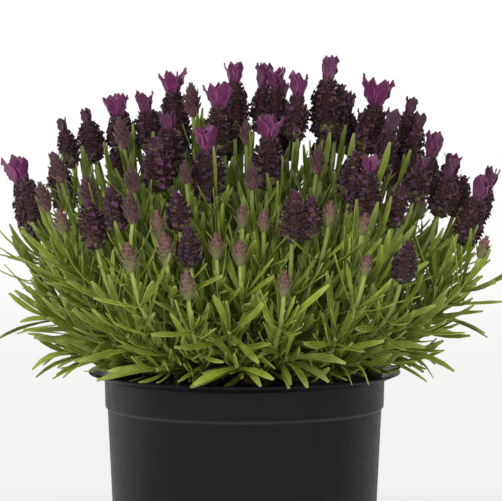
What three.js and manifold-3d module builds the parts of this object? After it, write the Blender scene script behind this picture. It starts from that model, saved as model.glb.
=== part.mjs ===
// Potted lavender: a bush of butterfly lavender in a plain round nursery pot.
// Millimetres, +Z up. The origin is the centre of the pot's underside, and the front is -Y.
import * as THREE from "three";
import { mergeVertices } from "three/addons/utils/BufferGeometryUtils.js";
import Module from "manifold-3d";

const wasm = await Module();
wasm.setup();

// Pot
const LIP_RADIUS = 85;
const LIP_TOP = 140;
const LIP_THICKNESS = 1.4;
const LIP_ROUND = 1;
const BAND_RADIUS = 76;
const BAND_FLARE = 0.4;
const BAND_TOP = 137;
const STEP_HEIGHT = 119;
const STEP_SLOPE = 1;
const INNER_SLOPE = 2;
const WALL_RADIUS = 74.8;
const BASE_RADIUS = 69.2;
const BASE_CHAMFER = 2;
const WALL_THICKNESS = 1.8;
const FLOOR_THICKNESS = 3;
const POT_SIDES = 32;
const DRAIN_COUNT = 6;
const DRAIN_RADIUS = 5;
const DRAIN_CIRCLE = 50;
const DRAIN_SIDES = 6;

// Soil, and the clearance that pieces resting in each other keep
const CLEARANCE = 0.3;
const SOIL_SIDES = 24;
const SOIL_INSET = 0.75;
const SOIL_EDGE = 129;
const SOIL_MIDDLE = 132;
const ROOT_DEPTH = 24;

// Woody crowns: one in the middle and a ring round it, each in its own hole in the soil
const CROWN_RING = 7;
const CROWN_RING_RADIUS = 32;
const CROWN_SIDES = 6;
const ROOT_RADIUS = 3.6;
const ROOT_TAPER = 0.6;
const CROWN_RADIUS = 9.5;
const CROWN_TAPER = 2;
const CROWN_HEIGHT = 144;
const CROWN_BELLY = 4;
const CROWN_SHOULDER = 6;
const CROWN_TOP = 9;
const CROWN_REACH = 0.27;

// Stems: their rods stand for them where room is kept
const STEM_FOOT_RADIUS = 1.3;
const STEM_TIP_RADIUS = 1.15;
const STEM_STEP = 42;
const STEM_PULL = 0.36;
const STEM_LOWEST = 3;
const STEM_TRIES = 90;
const BLOOM_TRIES = 600;
const SWAY_START = 2.5;
const SWAY_POWER = 0.7;
const HIGH_SWAY = 0.6;
const TWIST_STEP = 0.35;
const FORK_REACH = 13;
const FORK_ROOM = 0.38;
const FORK_ROUNDS = 60;
const FORK_LOWEST = 0.1;
const FORK_FLATNESS = 0.7;

// Leaves: lengths, widths and angles in radians are drawn between two ends
const LEAF_FOOT = 2.2;
const LEAF_KEEL = 1;
const LEAF_WIDEST = 0.62;
const LEAF_LENGTH = [27, 43];
const LEAF_WIDTH = [4.2, 5.4];
const LEAF_LIFT = [0.5, 1.05];
const LEAF_YAW = [-0.35, 0.35];
const LEAF_CURL = [-0.05, 0.5];
const LEAF_LOWEST = 138;
const LEAF_ROOM = 0.46;
const LEAF_TRIES = 22;
const LOWEST_WHORL = 0.22;
const END_LEAF = 24;
const END_LEAF_WIDTH = 4.6;
const END_LEAF_LIFT = 3;

// Room around what stands in the pot
const AIR = 0.5;
const POT_ROOM = 2.8;
const POT_CHECKS = 6;
const LIP_INSET = 8;

// Heads of florets
const HEAD_COLUMNS = 6;
const HEAD_RANKS = [
  { height: 0.12, girth: 0.86 },
  { height: 0.42, girth: 1.06 },
  { height: 0.72, girth: 0.96 },
  { height: 1, girth: 0.5 },
];
const HEAD_RELIEF = 0.15;
const HEAD_WAIST = 1.22;
const HEAD_FOOT_RADIUS = 1.7;
const HEAD_BITE = 2;
const HEAD_FLANK = [0.2, 0.65];
const BLOOM_LEAN = 0.0026;
const SETTLING_ROUNDS = 60;
const FAR_APART = 80;

// Bracts on a head: one shorter than the first value is a closed point
const OPEN_BRACTS = 4.5;
const BRACT_LENGTH = [0.8, 1];
const BRACT_WIDTH = 0.62;
const BRACT_WIDTHS = [2.4, 8];
const BRACT_BELLY = 0.6;
const BRACT_BULGE = 0.72;
const BRACT_CLOSED = 0.4;
const BRACT_SWAY = [-1, 1];
const TUFT_TOP = 0.8;
const TUFT_ROOM = 2;

// Buds
const BUD_RANKS = [
  { height: 0.14, girth: 0.85 },
  { height: 0.42, girth: 1.15 },
  { height: 0.7, girth: 0.85 },
];
const BUD_WAIST = 1.15;

// Heads that face the front: foot x, y, z; length and radius of the spike; length and spread of
// its bracts. One that leans on the head before it is marked so, and the two grow into each other.
const LEANS = true;
const FRONT_HEADS = [
  [-114, -15, 212, 32, 6, 16, 7.3],
  [-104, -40, 213, 32, 5.2, 4, 2.4, LEANS],
  [-94, 12, 250, 20, 4.6, 8, 2.6],
  [-81, 0, 254, 21, 6, 8, 3],
  [-74, -85, 212, 22, 5.6, 4, 2.6],
  [-66, 5, 257, 21, 5.6, 13, 8],
  [-49, 10, 258, 23, 6.4, 11.5, 5.5],
  [-38, 15, 260, 31, 6.6, 13, 9],
  [-38, -35, 248, 24, 5.8, 10, 4.2],
  [-44, -60, 240, 23, 6.4, 6, 3],
  [-66, -90, 221, 20, 4.8, 4, 2.4],
  [-13, -15, 258, 25, 6.4, 14.5, 8.3],
  [-4, 20, 266, 30, 6.2, 11.6, 5.8],
  [-18, -60, 235, 27, 6.6, 14, 6.5],
  [7, 25, 268, 25, 5.6, 15, 4.7],
  [18, 15, 268, 25, 5.5, 12.6, 5.5, LEANS],
  [27, -5, 265, 24, 5.2, 13.6, 5.4],
  [12, -55, 241, 27, 6.5, 13.6, 7.9],
  [-33, -92, 222, 16, 4.9, 4, 2.6],
  [-27, -104, 204, 17, 5, 4, 2.6],
  [24, -95, 216, 22, 5.6, 5, 3],
  [33, -92, 217, 19, 4.8, 4, 2.4, LEANS],
  [40, 10, 266, 32, 6.5, 13.7, 4.2],
  [52, 20, 265, 27, 4.8, 4, 2.4, LEANS],
  [67, 5, 258, 26, 6.8, 16.4, 10.5],
  [74, -12, 248, 23, 5, 12.4, 3.6],
  [83, 10, 257, 23, 4.9, 9.3, 3.4],
  [91, 0, 250, 22, 5, 9.2, 3.4, LEANS],
  [95, -16, 236, 21, 5, 15, 4.8],
  [89, -45, 234, 18, 6, 7.4, 3.8],
  [63, -75, 226, 26, 6.4, 8.3, 6],
  [52, -65, 236, 22, 5.6, 4, 2.6, LEANS],
  [77, -70, 222, 19, 4.6, 4, 2.4],
  [103, -35, 226, 21, 6, 11, 3.6],
  [117, -30, 210, 26, 6, 13, 5],
  [126, 3, 220, 20, 4.8, 12, 4],
  [80, -95, 195, 18, 4.8, 4, 2.4],
];

// Buds that face the front: foot x, y, z; length and radius
const FRONT_BUDS = [
  [-98, -27, 244, 14, 4],
  [-103, -60, 230, 15, 3.4],
  [-93, -75, 219, 12, 3.6],
  [-80, -58, 232, 16, 4.2],
  [-64, -32, 262, 16, 3.7],
  [-57, -80, 241, 12, 3.4],
  [-57, -97, 226, 15, 3.8],
  [-57, -109, 202, 14, 4],
  [-28, 5, 278, 18, 4],
  [-30, -72, 245, 11, 2.8],
  [1, -25, 264, 12, 3.2],
  [4, -76, 242, 13, 3.3],
  [-1, -92, 223, 11, 2.8],
  [10, -93, 221, 10, 2.8],
  [-2, -106, 205, 12, 3.3],
  [20, -114, 190, 12, 3.1],
  [-43, -97, 217, 15, 3.3],
  [-39, -106, 205, 16, 3.7],
  [-14, -103, 208, 12, 3.3],
  [-28, -115, 188, 15, 3.5],
  [43, -90, 224, 12, 3.3],
  [38, -50, 249, 14, 3.4],
  [124, -52, 205, 11, 3],
  [61, -108, 200, 10, 2.8],
  [60, -99, 220, 10, 2.8],
];

// The rest of the dome, which a spiral of even steps fills with heads, some with a partner that
// leans on them, and with buds near its edge
const DOME_SPOTS = 52;
const DOME_RADIUS = 122;
const DOME_DEPTH = 0.94;
const DOME_TOP = 262;
const DOME_FALL = 46;
const DOME_FALL_POWER = 2.6;
const DOME_UNEVEN = [-7, 7];
const DOME_FRONT = -12;
const DOME_NODES = 19;
const DOME_HEAD = { length: [20, 29], radius: [5.2, 6.4], bracts: [4, 14], spread: [2.6, 6.5] };
const SPOT_ROOM = 18;
const PARTNER_SHARE = 0.75;
const PARTNER_REACH = 11;
const PARTNER_TURN = [-1.5, 1.5];
const PARTNER_DROP = [2, 9];
const PARTNER_HEAD = { length: [18, 24], radius: [4.8, 5.8], bracts: [4, 9], spread: [2.8, 3.4] };
const DOME_BUD_FROM = 100;
const DOME_BUD_SHARE = 0.4;
const DOME_BUD = { length: [11, 16], radius: [3, 4] };

// Leafy shoots in tiers from the pot's lip upwards: how many, reach, height and rise of the tip,
// the first one's turn, how much the leaves droop, and how far below the tip the whorls are
const LEAFY_TIERS = [
  { count: 13, reach: 88, height: 150, rise: 14, turn: 13, droop: 0.6, whorls: [29, 15, 3] },
  { count: 12, reach: 104, height: 168, rise: 32, turn: 22, droop: 0.2, whorls: [16, 3] },
  { count: 12, reach: 108, height: 192, rise: 58, turn: 5, droop: 0, whorls: [16, 3] },
];
const LEAFY_TURN = [-0.2, 0.2];
const LEAFY_RISE = [-8, 8];
const LEAFY_REACH = [-4, 4];
const LEAFY_HEIGHT = [-3, 5];
const LEAFY_VIGOUR = 0.95;

// Stems under blooms: those low in front carry a whorl
const BLOOM_VIGOUR = 0.9;
const FRONT_FROM = -60;
const LOW_BUD = 225;
const BUD_WHORLS = [22];
const FRONT_WHORLS = [34];

// Where each group of seeds starts
const FRONT_HEAD_SEED = 100;
const FRONT_BUD_SEED = 200;
const TIER_SEED = 300;
const TIER_SEED_STEP = 40;
const SPOT_SEED = 700;
const DOME_SEED = 900;
const PARTNER_SEED = 950;
const STEM_SEED = 1000;
const LEAF_SEED = 6000;

const GOLDEN_TURN = Math.PI * (3 - Math.sqrt(5));
const UP = new THREE.Vector3(0, 0, 1);
const vec = (x, y, z) => new THREE.Vector3(x, y, z);
const radians = (degrees) => (degrees * Math.PI) / 180;
const mix = (from, to, share) => from + (to - from) * share;
const clamp = (value, low, high) => Math.min(Math.max(value, low), high);
const pick = ([from, to], draw) => mix(from, to, draw());

// A run of even random numbers from 0 to 1 that a seed fixes
function seeded(seed) {
  let state = Math.imul(seed, 2654435761) >>> 0;
  return () => {
    state = (Math.imul(state, 1664525) + 1013904223) >>> 0;
    return state / 2 ** 32;
  };
}

// Solids and geometries
function solidOf(points, faces) {
  return new wasm.Manifold(
    new wasm.Mesh({
      numProp: 3,
      vertProperties: new Float32Array(points),
      triVerts: new Uint32Array(faces),
    }),
  );
}

function toSolid(geometry) {
  const bare = geometry.clone();
  bare.deleteAttribute("normal");
  bare.deleteAttribute("uv");
  const merged = mergeVertices(bare, 1e-4);
  return solidOf(merged.attributes.position.array, merged.index.array);
}

// Fusing can close off a small hollow between stems, which is filled
function withoutHollows(solid) {
  return solid.decompose().find((body) => body.volume() > 0);
}

function toGeometry(solid) {
  const mesh = solid.getMesh();
  const geometry = new THREE.BufferGeometry();
  geometry.setAttribute("position", new THREE.BufferAttribute(mesh.vertProperties, 3));
  geometry.setIndex(new THREE.BufferAttribute(mesh.triVerts, 1));
  geometry.computeVertexNormals();
  return geometry;
}

function turned(profile, sides) {
  const points = profile.map(([radius, height]) => new THREE.Vector2(radius, height));
  return toSolid(new THREE.LatheGeometry(points, sides).rotateX(Math.PI / 2));
}

function bar(radius, sides, from, to, x, y) {
  const geometry = new THREE.CylinderGeometry(radius, radius, to - from, sides);
  geometry.rotateX(Math.PI / 2).translate(x, y, (from + to) / 2);
  return toSolid(geometry);
}

// A closed skin that is put together loop by loop, each loop running anticlockwise from outside
class Skin {
  constructor() {
    this.points = [];
    this.faces = [];
  }

  point(place) {
    this.points.push(place.x, place.y, place.z);
    return this.points.length / 3 - 1;
  }

  loop(places) {
    return places.map((place) => this.point(place));
  }

  cap(loop) {
    for (let i = 1; i + 1 < loop.length; i++) this.faces.push(loop[0], loop[i], loop[i + 1]);
  }

  bridge(low, high) {
    let i = 0;
    let j = 0;
    while (i < low.length || j < high.length) {
      const lowNext = (i + 1) / low.length;
      const highNext = (j + 1) / high.length;
      const a = low[i % low.length];
      const b = high[j % high.length];
      if (i < low.length && lowNext <= highNext) {
        this.faces.push(a, low[(i + 1) % low.length], b);
        i += 1;
      } else {
        this.faces.push(a, high[(j + 1) % high.length], b);
        j += 1;
      }
    }
  }

  close(loop, tip) {
    const end = this.point(tip);
    loop.forEach((corner, i) => this.faces.push(corner, loop[(i + 1) % loop.length], end));
  }

  // A blade drawn out of a loop of four: a keeled section at its widest, then its tip
  blade(foot, { middle, tip, across, width }) {
    const onward = tip.clone().sub(middle).normalize();
    const side = across.clone().addScaledVector(onward, -across.dot(onward)).normalize();
    const face = onward.clone().cross(side);
    const widest = this.loop([
      middle.clone().addScaledVector(face, -LEAF_KEEL),
      middle.clone().addScaledVector(side, width / 2),
      middle.clone().addScaledVector(side, -width / 2),
    ]);
    this.bridge(foot, widest);
    this.close(widest, tip);
  }

  solid() {
    return solidOf(this.points, this.faces);
  }
}

// Pot and soil
const innerWall = (height) =>
  mix(BASE_RADIUS, WALL_RADIUS, height / STEP_HEIGHT) - WALL_THICKNESS;
const innerBand = BAND_RADIUS - WALL_THICKNESS;

function pot() {
  const profile = [
    [0, 0],
    [BASE_RADIUS - BASE_CHAMFER, 0],
    [BASE_RADIUS, BASE_CHAMFER],
    [WALL_RADIUS, STEP_HEIGHT],
    [BAND_RADIUS, STEP_HEIGHT + STEP_SLOPE],
    [BAND_RADIUS + BAND_FLARE, BAND_TOP - LIP_THICKNESS],
    [LIP_RADIUS, LIP_TOP - LIP_THICKNESS],
    [LIP_RADIUS, LIP_TOP - LIP_THICKNESS / 3],
    [LIP_RADIUS - LIP_ROUND, LIP_TOP],
    [BAND_RADIUS, BAND_TOP],
    [innerBand, BAND_TOP - 2 * LIP_THICKNESS],
    [innerBand, STEP_HEIGHT + INNER_SLOPE],
    [innerWall(STEP_HEIGHT - INNER_SLOPE), STEP_HEIGHT - INNER_SLOPE],
    [innerWall(FLOOR_THICKNESS), FLOOR_THICKNESS],
    [0, FLOOR_THICKNESS],
  ];
  let solid = turned(profile, POT_SIDES);
  for (let i = 0; i < DRAIN_COUNT; i++) {
    const angle = (2 * Math.PI * i) / DRAIN_COUNT;
    const x = DRAIN_CIRCLE * Math.cos(angle);
    const y = DRAIN_CIRCLE * Math.sin(angle);
    solid = solid.subtract(bar(DRAIN_RADIUS, DRAIN_SIDES, -1, FLOOR_THICKNESS + 1, x, y));
  }
  return solid;
}

function soil(crowns) {
  const floor = FLOOR_THICKNESS + CLEARANCE;
  const profile = [
    [0, floor],
    [innerWall(floor) - SOIL_INSET, floor],
    [innerWall(STEP_HEIGHT - INNER_SLOPE) - SOIL_INSET, STEP_HEIGHT - INNER_SLOPE],
    [innerBand - SOIL_INSET, STEP_HEIGHT + INNER_SLOPE],
    [innerBand - SOIL_INSET, SOIL_EDGE],
    [0, SOIL_MIDDLE],
  ];
  const bottom = SOIL_MIDDLE - ROOT_DEPTH - CLEARANCE;
  const radius = ROOT_RADIUS + 2 * CLEARANCE;
  return crowns.reduce(
    (solid, { x, y }) => solid.subtract(bar(radius, CROWN_SIDES, bottom, SOIL_MIDDLE + 1, x, y)),
    turned(profile, SOIL_SIDES),
  );
}

// Crowns: a root in its hole, and a knuckle just above the soil that the stems grow from
function crownPlaces() {
  const places = [vec(0, 0, CROWN_HEIGHT)];
  for (let i = 0; i < CROWN_RING; i++) {
    const angle = (2 * Math.PI * (i + 0.5)) / CROWN_RING;
    const x = CROWN_RING_RADIUS * Math.cos(angle);
    const y = CROWN_RING_RADIUS * Math.sin(angle);
    places.push(vec(x, y, CROWN_HEIGHT));
  }
  return places;
}

function crown({ x, y }) {
  const profile = [
    [0, SOIL_MIDDLE - ROOT_DEPTH],
    [ROOT_RADIUS - ROOT_TAPER, SOIL_MIDDLE - ROOT_DEPTH],
    [ROOT_RADIUS, SOIL_MIDDLE + 1],
    [CROWN_RADIUS, CROWN_HEIGHT - CROWN_BELLY],
    [CROWN_RADIUS - CROWN_TAPER, CROWN_HEIGHT + CROWN_SHOULDER],
    [0, CROWN_HEIGHT + CROWN_TOP],
  ];
  return turned(profile, CROWN_SIDES).translate([x, y, 0]);
}

// Room: round-ended rods stand for what is already there
function rod(from, to, radius, owner) {
  const middle = from.clone().add(to).multiplyScalar(0.5);
  return { from, to, radius, owner, middle, half: from.distanceTo(to) / 2 };
}

// The way from one rod's centre line to the other's where they are nearest
function between(one, other) {
  const u = one.to.clone().sub(one.from);
  const v = other.to.clone().sub(other.from);
  const w = one.from.clone().sub(other.from);
  const uu = u.dot(u);
  const uv = u.dot(v);
  const vv = v.dot(v);
  const skew = uu * vv - uv * uv;
  let s = skew > 1e-9 ? clamp((uv * v.dot(w) - vv * u.dot(w)) / skew, 0, 1) : 0;
  const t = clamp((uv * s + v.dot(w)) / vv, 0, 1);
  s = clamp((uv * t - u.dot(w)) / uu, 0, 1);
  return w.addScaledVector(u, s).addScaledVector(v, -t);
}

function isClear(one, other) {
  const room = one.radius + other.radius + AIR;
  if (one.middle.distanceTo(other.middle) > one.half + other.half + room) return true;
  return between(one, other).length() > room;
}

// A rod stays above the soil and the lip, or well outside the pot
function isOutsidePot({ from, to }) {
  for (let i = 0; i <= POT_CHECKS; i++) {
    const place = from.clone().lerp(to, i / POT_CHECKS);
    const reach = Math.hypot(place.x, place.y);
    const lowest = reach > BAND_RADIUS - LIP_INSET ? LIP_TOP : SOIL_MIDDLE;
    if (reach < LIP_RADIUS + POT_ROOM && place.z < lowest + POT_ROOM) return false;
  }
  return true;
}

// Blooms: where each head and bud stands, once none is in another's way
function bloom([x, y, z, length, radius, bracts = 0, spread = 0, leans = false], isBud, seed) {
  const axis = vec(x, y, 0).multiplyScalar(BLOOM_LEAN).add(UP).normalize();
  const side = axis.clone().cross(vec(1, 0, 0)).normalize();
  const front = side.clone().cross(axis);
  return { foot: vec(x, y, z), axis, front, side, length, radius, bracts, spread, leans, isBud, seed };
}

// A place on a bloom: how far up its axis, how far out and which way round
function around({ foot, axis, front, side }, height, radius, angle) {
  return foot
    .clone()
    .addScaledVector(axis, height)
    .addScaledVector(front, radius * Math.cos(angle))
    .addScaledVector(side, radius * Math.sin(angle));
}

function bloomRods(head, owner) {
  const top = around(head, head.length, 0, 0);
  const waist = head.radius * (head.isBud ? BUD_WAIST : HEAD_WAIST);
  const rods = [rod(around(head, head.radius / 2, 0, 0), top, waist, owner)];
  if (head.bracts > 0) {
    const end = around(head, head.length + TUFT_TOP * head.bracts, 0, 0);
    rods.push(rod(top, end, head.spread / 2 + TUFT_ROOM, owner));
  }
  return rods;
}

function drawHead({ length, radius, bracts, spread }, draw) {
  return [pick(length, draw), pick(radius, draw), pick(bracts, draw), pick(spread, draw)];
}

function domeBlooms(listed) {
  const found = [];
  let nodes = 0;
  for (let i = 0; i < DOME_SPOTS; i++) {
    const draw = seeded(SPOT_SEED + i);
    const reach = DOME_RADIUS * Math.sqrt((i + 0.5) / DOME_SPOTS);
    const x = reach * Math.cos(i * GOLDEN_TURN);
    const y = reach * Math.sin(i * GOLDEN_TURN) * DOME_DEPTH;
    const taken = listed.some(({ foot }) => Math.hypot(foot.x - x, foot.y - y) < SPOT_ROOM);
    if (y < DOME_FRONT || taken) continue;
    const fall = DOME_FALL * (reach / DOME_RADIUS) ** DOME_FALL_POWER;
    const z = DOME_TOP - fall + pick(DOME_UNEVEN, draw);
    if (reach > DOME_BUD_FROM && draw() < DOME_BUD_SHARE) {
      const size = [pick(DOME_BUD.length, draw), pick(DOME_BUD.radius, draw)];
      found.push(bloom([x, y, z, ...size], true, DOME_SEED + i));
    } else if (nodes < DOME_NODES) {
      nodes += 1;
      found.push(bloom([x, y, z, ...drawHead(DOME_HEAD, draw)], false, DOME_SEED + i));
      if (draw() < PARTNER_SHARE) found.push(partner(x, y, z, draw, PARTNER_SEED + i));
    }
  }
  return found;
}

function partner(x, y, z, draw, seed) {
  const turn = Math.atan2(y, x) + pick(PARTNER_TURN, draw);
  const place = [
    x + PARTNER_REACH * Math.cos(turn),
    y + PARTNER_REACH * Math.sin(turn),
    z - pick(PARTNER_DROP, draw),
  ];
  return bloom([...place, ...drawHead(PARTNER_HEAD, draw), LEANS], false, seed);
}

// Blooms are eased apart sideways, and those that lean are eased together until they bite
function settle(blooms) {
  for (let round = 0; round < SETTLING_ROUNDS; round++) {
    blooms.forEach((one, i) => {
      blooms.slice(i + 1).forEach((other, j) => {
        if (j > 0 || !other.leans) easeApart(one, other);
      });
    });
    blooms.forEach((other, i) => {
      if (other.leans) easeTogether(blooms[i - 1], other);
    });
  }
  return blooms;
}

function easeApart(one, other) {
  if (one.foot.distanceTo(other.foot) > FAR_APART) return;
  for (const a of bloomRods(one)) {
    for (const b of bloomRods(other)) {
      const room = a.radius + b.radius + AIR;
      if (between(a, b).length() < room) ease(one, other, a, b, room);
    }
  }
}

function easeTogether(one, other) {
  ease(one, other, flank(one), flank(other), one.radius + other.radius - HEAD_BITE);
}

// Moves two blooms sideways until the given rods of theirs lie the wanted distance apart
function ease(one, other, a, b, wanted) {
  const gap = between(a, b);
  const move = (wanted - gap.length()) / 2;
  const way = vec(gap.x, gap.y, 0).normalize();
  one.foot.addScaledVector(way, move);
  other.foot.addScaledVector(way, -move);
}

// The full-width stretch of a spike
function flank(head) {
  const [from, to] = HEAD_FLANK.map((share) => around(head, share * head.length, 0, 0));
  return rod(from, to, head.radius, head);
}

// Shoots: a stem under each bloom, and leafy shoots that end in a leaf
function bloomShoot(head) {
  const tip = head.isBud ? head.foot : around(head, -CLEARANCE, 0, 0);
  const front = head.foot.y < FRONT_FROM ? FRONT_WHORLS : [];
  const whorls = head.isBud && head.foot.z < LOW_BUD ? BUD_WHORLS : front;
  const kind = head.isBud ? "bud" : "head";
  return { kind, tip, axis: head.axis, droop: 0, vigour: BLOOM_VIGOUR, whorls, bloom: head };
}

function leafyShoot(tier, seed, i) {
  const draw = seeded(seed + i);
  const angle = radians(tier.turn + (360 * (i + pick(LEAFY_TURN, draw))) / tier.count);
  const rise = radians(tier.rise + pick(LEAFY_RISE, draw));
  const reach = tier.reach + pick(LEAFY_REACH, draw);
  const out = vec(Math.cos(angle), Math.sin(angle), 0);
  const tip = vec(reach * out.x, DOME_DEPTH * reach * out.y, tier.height + pick(LEAFY_HEIGHT, draw));
  const axis = out.multiplyScalar(Math.cos(rise)).addScaledVector(UP, Math.sin(rise));
  const { droop, whorls } = tier;
  return { kind: "leafy", tip, axis, droop, vigour: LEAFY_VIGOUR, whorls };
}

function leafyShoots() {
  return LEAFY_TIERS.flatMap((tier, row) => {
    const seed = TIER_SEED + TIER_SEED_STEP * row;
    return Array.from({ length: tier.count }, (_, i) => leafyShoot(tier, seed, i));
  });
}

// The crown that a shoot leaves is the one that its tip is nearest to
function nearestCrown(crowns, tip) {
  const distances = crowns.map(({ x, y }) =>
    Math.hypot(tip.x * CROWN_REACH - x, tip.y * CROWN_REACH - y),
  );
  return distances.indexOf(Math.min(...distances));
}

// The shoots of one crown fork from it in directions of their own
function fanOut(shoots, place) {
  for (const shoot of shoots) {
    shoot.start = place;
    shoot.fork = shoot.tip.clone().sub(place);
    shoot.fork.z *= FORK_FLATNESS;
    shoot.fork.normalize();
  }
  for (let round = 0; round < FORK_ROUNDS; round++) {
    shoots.forEach((one, i) => shoots.slice(i + 1).forEach((other) => easeForks(one, other)));
  }
}

function easeForks(one, other) {
  const gap = one.fork.clone().sub(other.fork);
  const move = (FORK_ROOM - gap.length()) / 2;
  if (move <= 0) return;
  gap.normalize();
  for (const [{ fork }, way] of [[one, move], [other, -move]]) {
    fork.addScaledVector(gap, way);
    fork.z = Math.max(fork.z, FORK_LOWEST);
    fork.normalize();
  }
}

// A stem rises along one curve into the line of its tip
function stemCurve({ start, fork, tip, axis }, lowBend, highBend) {
  const pull = STEM_PULL * start.distanceTo(tip);
  const first = start.clone().addScaledVector(fork, pull).add(lowBend);
  const second = tip.clone().addScaledVector(axis, -pull).add(highBend);
  second.z = Math.max(second.z, CROWN_HEIGHT + STEM_LOWEST);
  return new THREE.CubicBezierCurve3(start, first, second, tip);
}

function drawBend(sway, draw) {
  const range = [-sway, sway];
  return vec(pick(range, draw), pick(range, draw), pick(range, draw));
}

function heading({ v0, v1, v2, v3 }, share) {
  const rest = 1 - share;
  const along = v1.clone().sub(v0).multiplyScalar(rest * rest);
  along.addScaledVector(v2.clone().sub(v1), 2 * rest * share);
  return along.addScaledVector(v3.clone().sub(v2), share * share).normalize();
}

// The levels, as shares of a stem's length, where its solid has corners: both sides of each
// whorl, and even steps between
function stemLevels(length, whorls) {
  const levels = [{ share: 0 }];
  const climbTo = (share) => {
    const last = levels.at(-1).share;
    const steps = Math.max(1, Math.round(((share - last) * length) / STEM_STEP));
    for (let i = 1; i <= steps; i++) levels.push({ share: mix(last, share, i / steps) });
  };
  for (const drop of whorls) {
    const whorl = 1 - drop / length;
    if (whorl < LOWEST_WHORL) continue;
    climbTo(whorl - LEAF_FOOT / length / 2);
    levels.push({ share: whorl + LEAF_FOOT / length / 2, whorl });
  }
  climbTo(1);
  return levels;
}

// The rods of a stem from just outside its crown, and those of the leaf that it ends in
function stemRods(curve, levels, owner) {
  const places = levels.map(({ share }) => curve.getPoint(share));
  const clearOfFork = FORK_REACH / places[0].distanceTo(places[1]);
  places[0].lerp(places[1], Math.min(clearOfFork, 0.9));
  const rods = places.slice(1).map((place, i) => rod(places[i], place, STEM_FOOT_RADIUS, owner));
  if (owner.kind !== "leafy") return rods;
  const { middle, tip } = endLeaf(owner);
  const room = LEAF_ROOM * END_LEAF_WIDTH;
  return [...rods, rod(owner.tip, middle, room, owner), rod(middle, tip, room, owner)];
}

function endLeaf({ tip: root, axis }) {
  const middle = root.clone().addScaledVector(axis, LEAF_WIDEST * END_LEAF);
  const tip = middle.clone().addScaledVector(axis, (1 - LEAF_WIDEST) * END_LEAF);
  tip.z += END_LEAF_LIFT;
  return { middle, tip };
}

// Bends a stem until it stands clear of the crowns, the blooms and the stems before it
function routeStem(shoot, rods) {
  const draw = seeded(shoot.seed);
  const others = rods.filter(({ owner }) => owner !== shoot && owner !== shoot.ownCrown);
  const tries = shoot.bloom ? BLOOM_TRIES : STEM_TRIES;
  for (let attempt = 0; attempt < tries; attempt++) {
    const sway = attempt && SWAY_START + attempt ** SWAY_POWER;
    const lowBend = drawBend(sway, draw);
    const curve = stemCurve(shoot, lowBend, drawBend(HIGH_SWAY * sway, draw));
    const levels = stemLevels(curve.getLength(), shoot.whorls);
    const course = stemRods(curve, levels, shoot);
    if (course.every((piece) => isOutsidePot(piece) && others.every((o) => isClear(piece, o)))) {
      rods.push(...course);
      Object.assign(shoot, { curve, levels });
      return true;
    }
  }
  return false;
}

// Leaves: a whorl of up to four stands on the four faces of the stem
function stemRing(shoot, share) {
  const along = heading(shoot.curve, share);
  const side = shoot.sideways.clone();
  side.addScaledVector(along, -side.dot(along)).normalize();
  const front = side.clone().cross(along);
  const centre = shoot.curve.getPoint(share);
  const radius = mix(STEM_FOOT_RADIUS, STEM_TIP_RADIUS, share);
  const corners = [0, 1, 2, 3].map((k) => {
    const angle = shoot.twist + (k * Math.PI) / 2;
    const out = front.clone().multiplyScalar(Math.cos(angle)).addScaledVector(side, Math.sin(angle));
    return centre.clone().addScaledVector(out, radius);
  });
  return { along, centre, corners };
}

function drawLeaf(shoot, ring, k, draw) {
  const [from, to] = [ring.corners[k], ring.corners[(k + 1) % 4]];
  const foot = from.clone().add(to).multiplyScalar(0.5);
  const out = foot.clone().sub(ring.centre).normalize();
  const across = to.clone().sub(from).normalize();
  const length = pick(LEAF_LENGTH, draw) * shoot.vigour;
  const lift = pick(LEAF_LIFT, draw);
  const first = ring.along.clone().multiplyScalar(Math.cos(lift)).addScaledVector(out, Math.sin(lift));
  first.addScaledVector(across, pick(LEAF_YAW, draw)).normalize();
  const second = first.clone().addScaledVector(UP, pick(LEAF_CURL, draw) - shoot.droop).normalize();
  const middle = foot.clone().addScaledVector(first, LEAF_WIDEST * length);
  const tip = middle.clone().addScaledVector(second, (1 - LEAF_WIDEST) * length);
  return { foot, middle, tip, across, width: pick(LEAF_WIDTH, draw) };
}

// A leaf's rods, where it doesn't hang low, its lower half clears other shoots and its upper half
// clears everything
function leafRods(leaf, shoot, rods) {
  const lower = rod(leaf.foot, leaf.middle, LEAF_ROOM * leaf.width, shoot);
  const upper = rod(leaf.middle, leaf.tip, LEAF_ROOM * leaf.width, shoot);
  if (leaf.tip.z < LEAF_LOWEST || !isOutsidePot(lower) || !isOutsidePot(upper)) return null;
  const fits = rods.every(
    (other) => (other.owner === shoot || isClear(lower, other)) && isClear(upper, other),
  );
  return fits ? [lower, upper] : null;
}

function placeLeaf(shoot, ring, k, draw, rods) {
  for (let attempt = 0; attempt < LEAF_TRIES; attempt++) {
    const leaf = drawLeaf(shoot, ring, k, draw);
    const taken = leafRods(leaf, shoot, rods);
    if (taken) {
      rods.push(...taken);
      return leaf;
    }
  }
  return null;
}

function growLeaves(shoot, rods) {
  const draw = seeded(shoot.seed + LEAF_SEED);
  for (const level of shoot.levels.filter(({ whorl }) => whorl)) {
    const ring = stemRing(shoot, level.whorl);
    level.leaves = [0, 1, 2, 3].map((k) => placeLeaf(shoot, ring, k, draw, rods));
  }
}

// Shoots as solids: a square stem with its leaves drawn out of its faces, and a bud, a leaf or
// a flat end on top
function shootSolid(shoot) {
  const skin = new Skin();
  let ring = skin.loop(stemRing(shoot, 0).corners);
  skin.cap([...ring].reverse());
  for (const { share, leaves = [] } of shoot.levels.slice(1)) {
    const next = skin.loop(stemRing(shoot, share).corners);
    for (let k = 0; k < 4; k++) {
      const face = [ring[k], ring[(k + 1) % 4], next[(k + 1) % 4], next[k]];
      if (leaves[k]) skin.blade(face, leaves[k]);
      else skin.cap(face);
    }
    ring = next;
  }
  finishShoot(skin, ring, shoot);
  return skin.solid();
}

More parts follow.
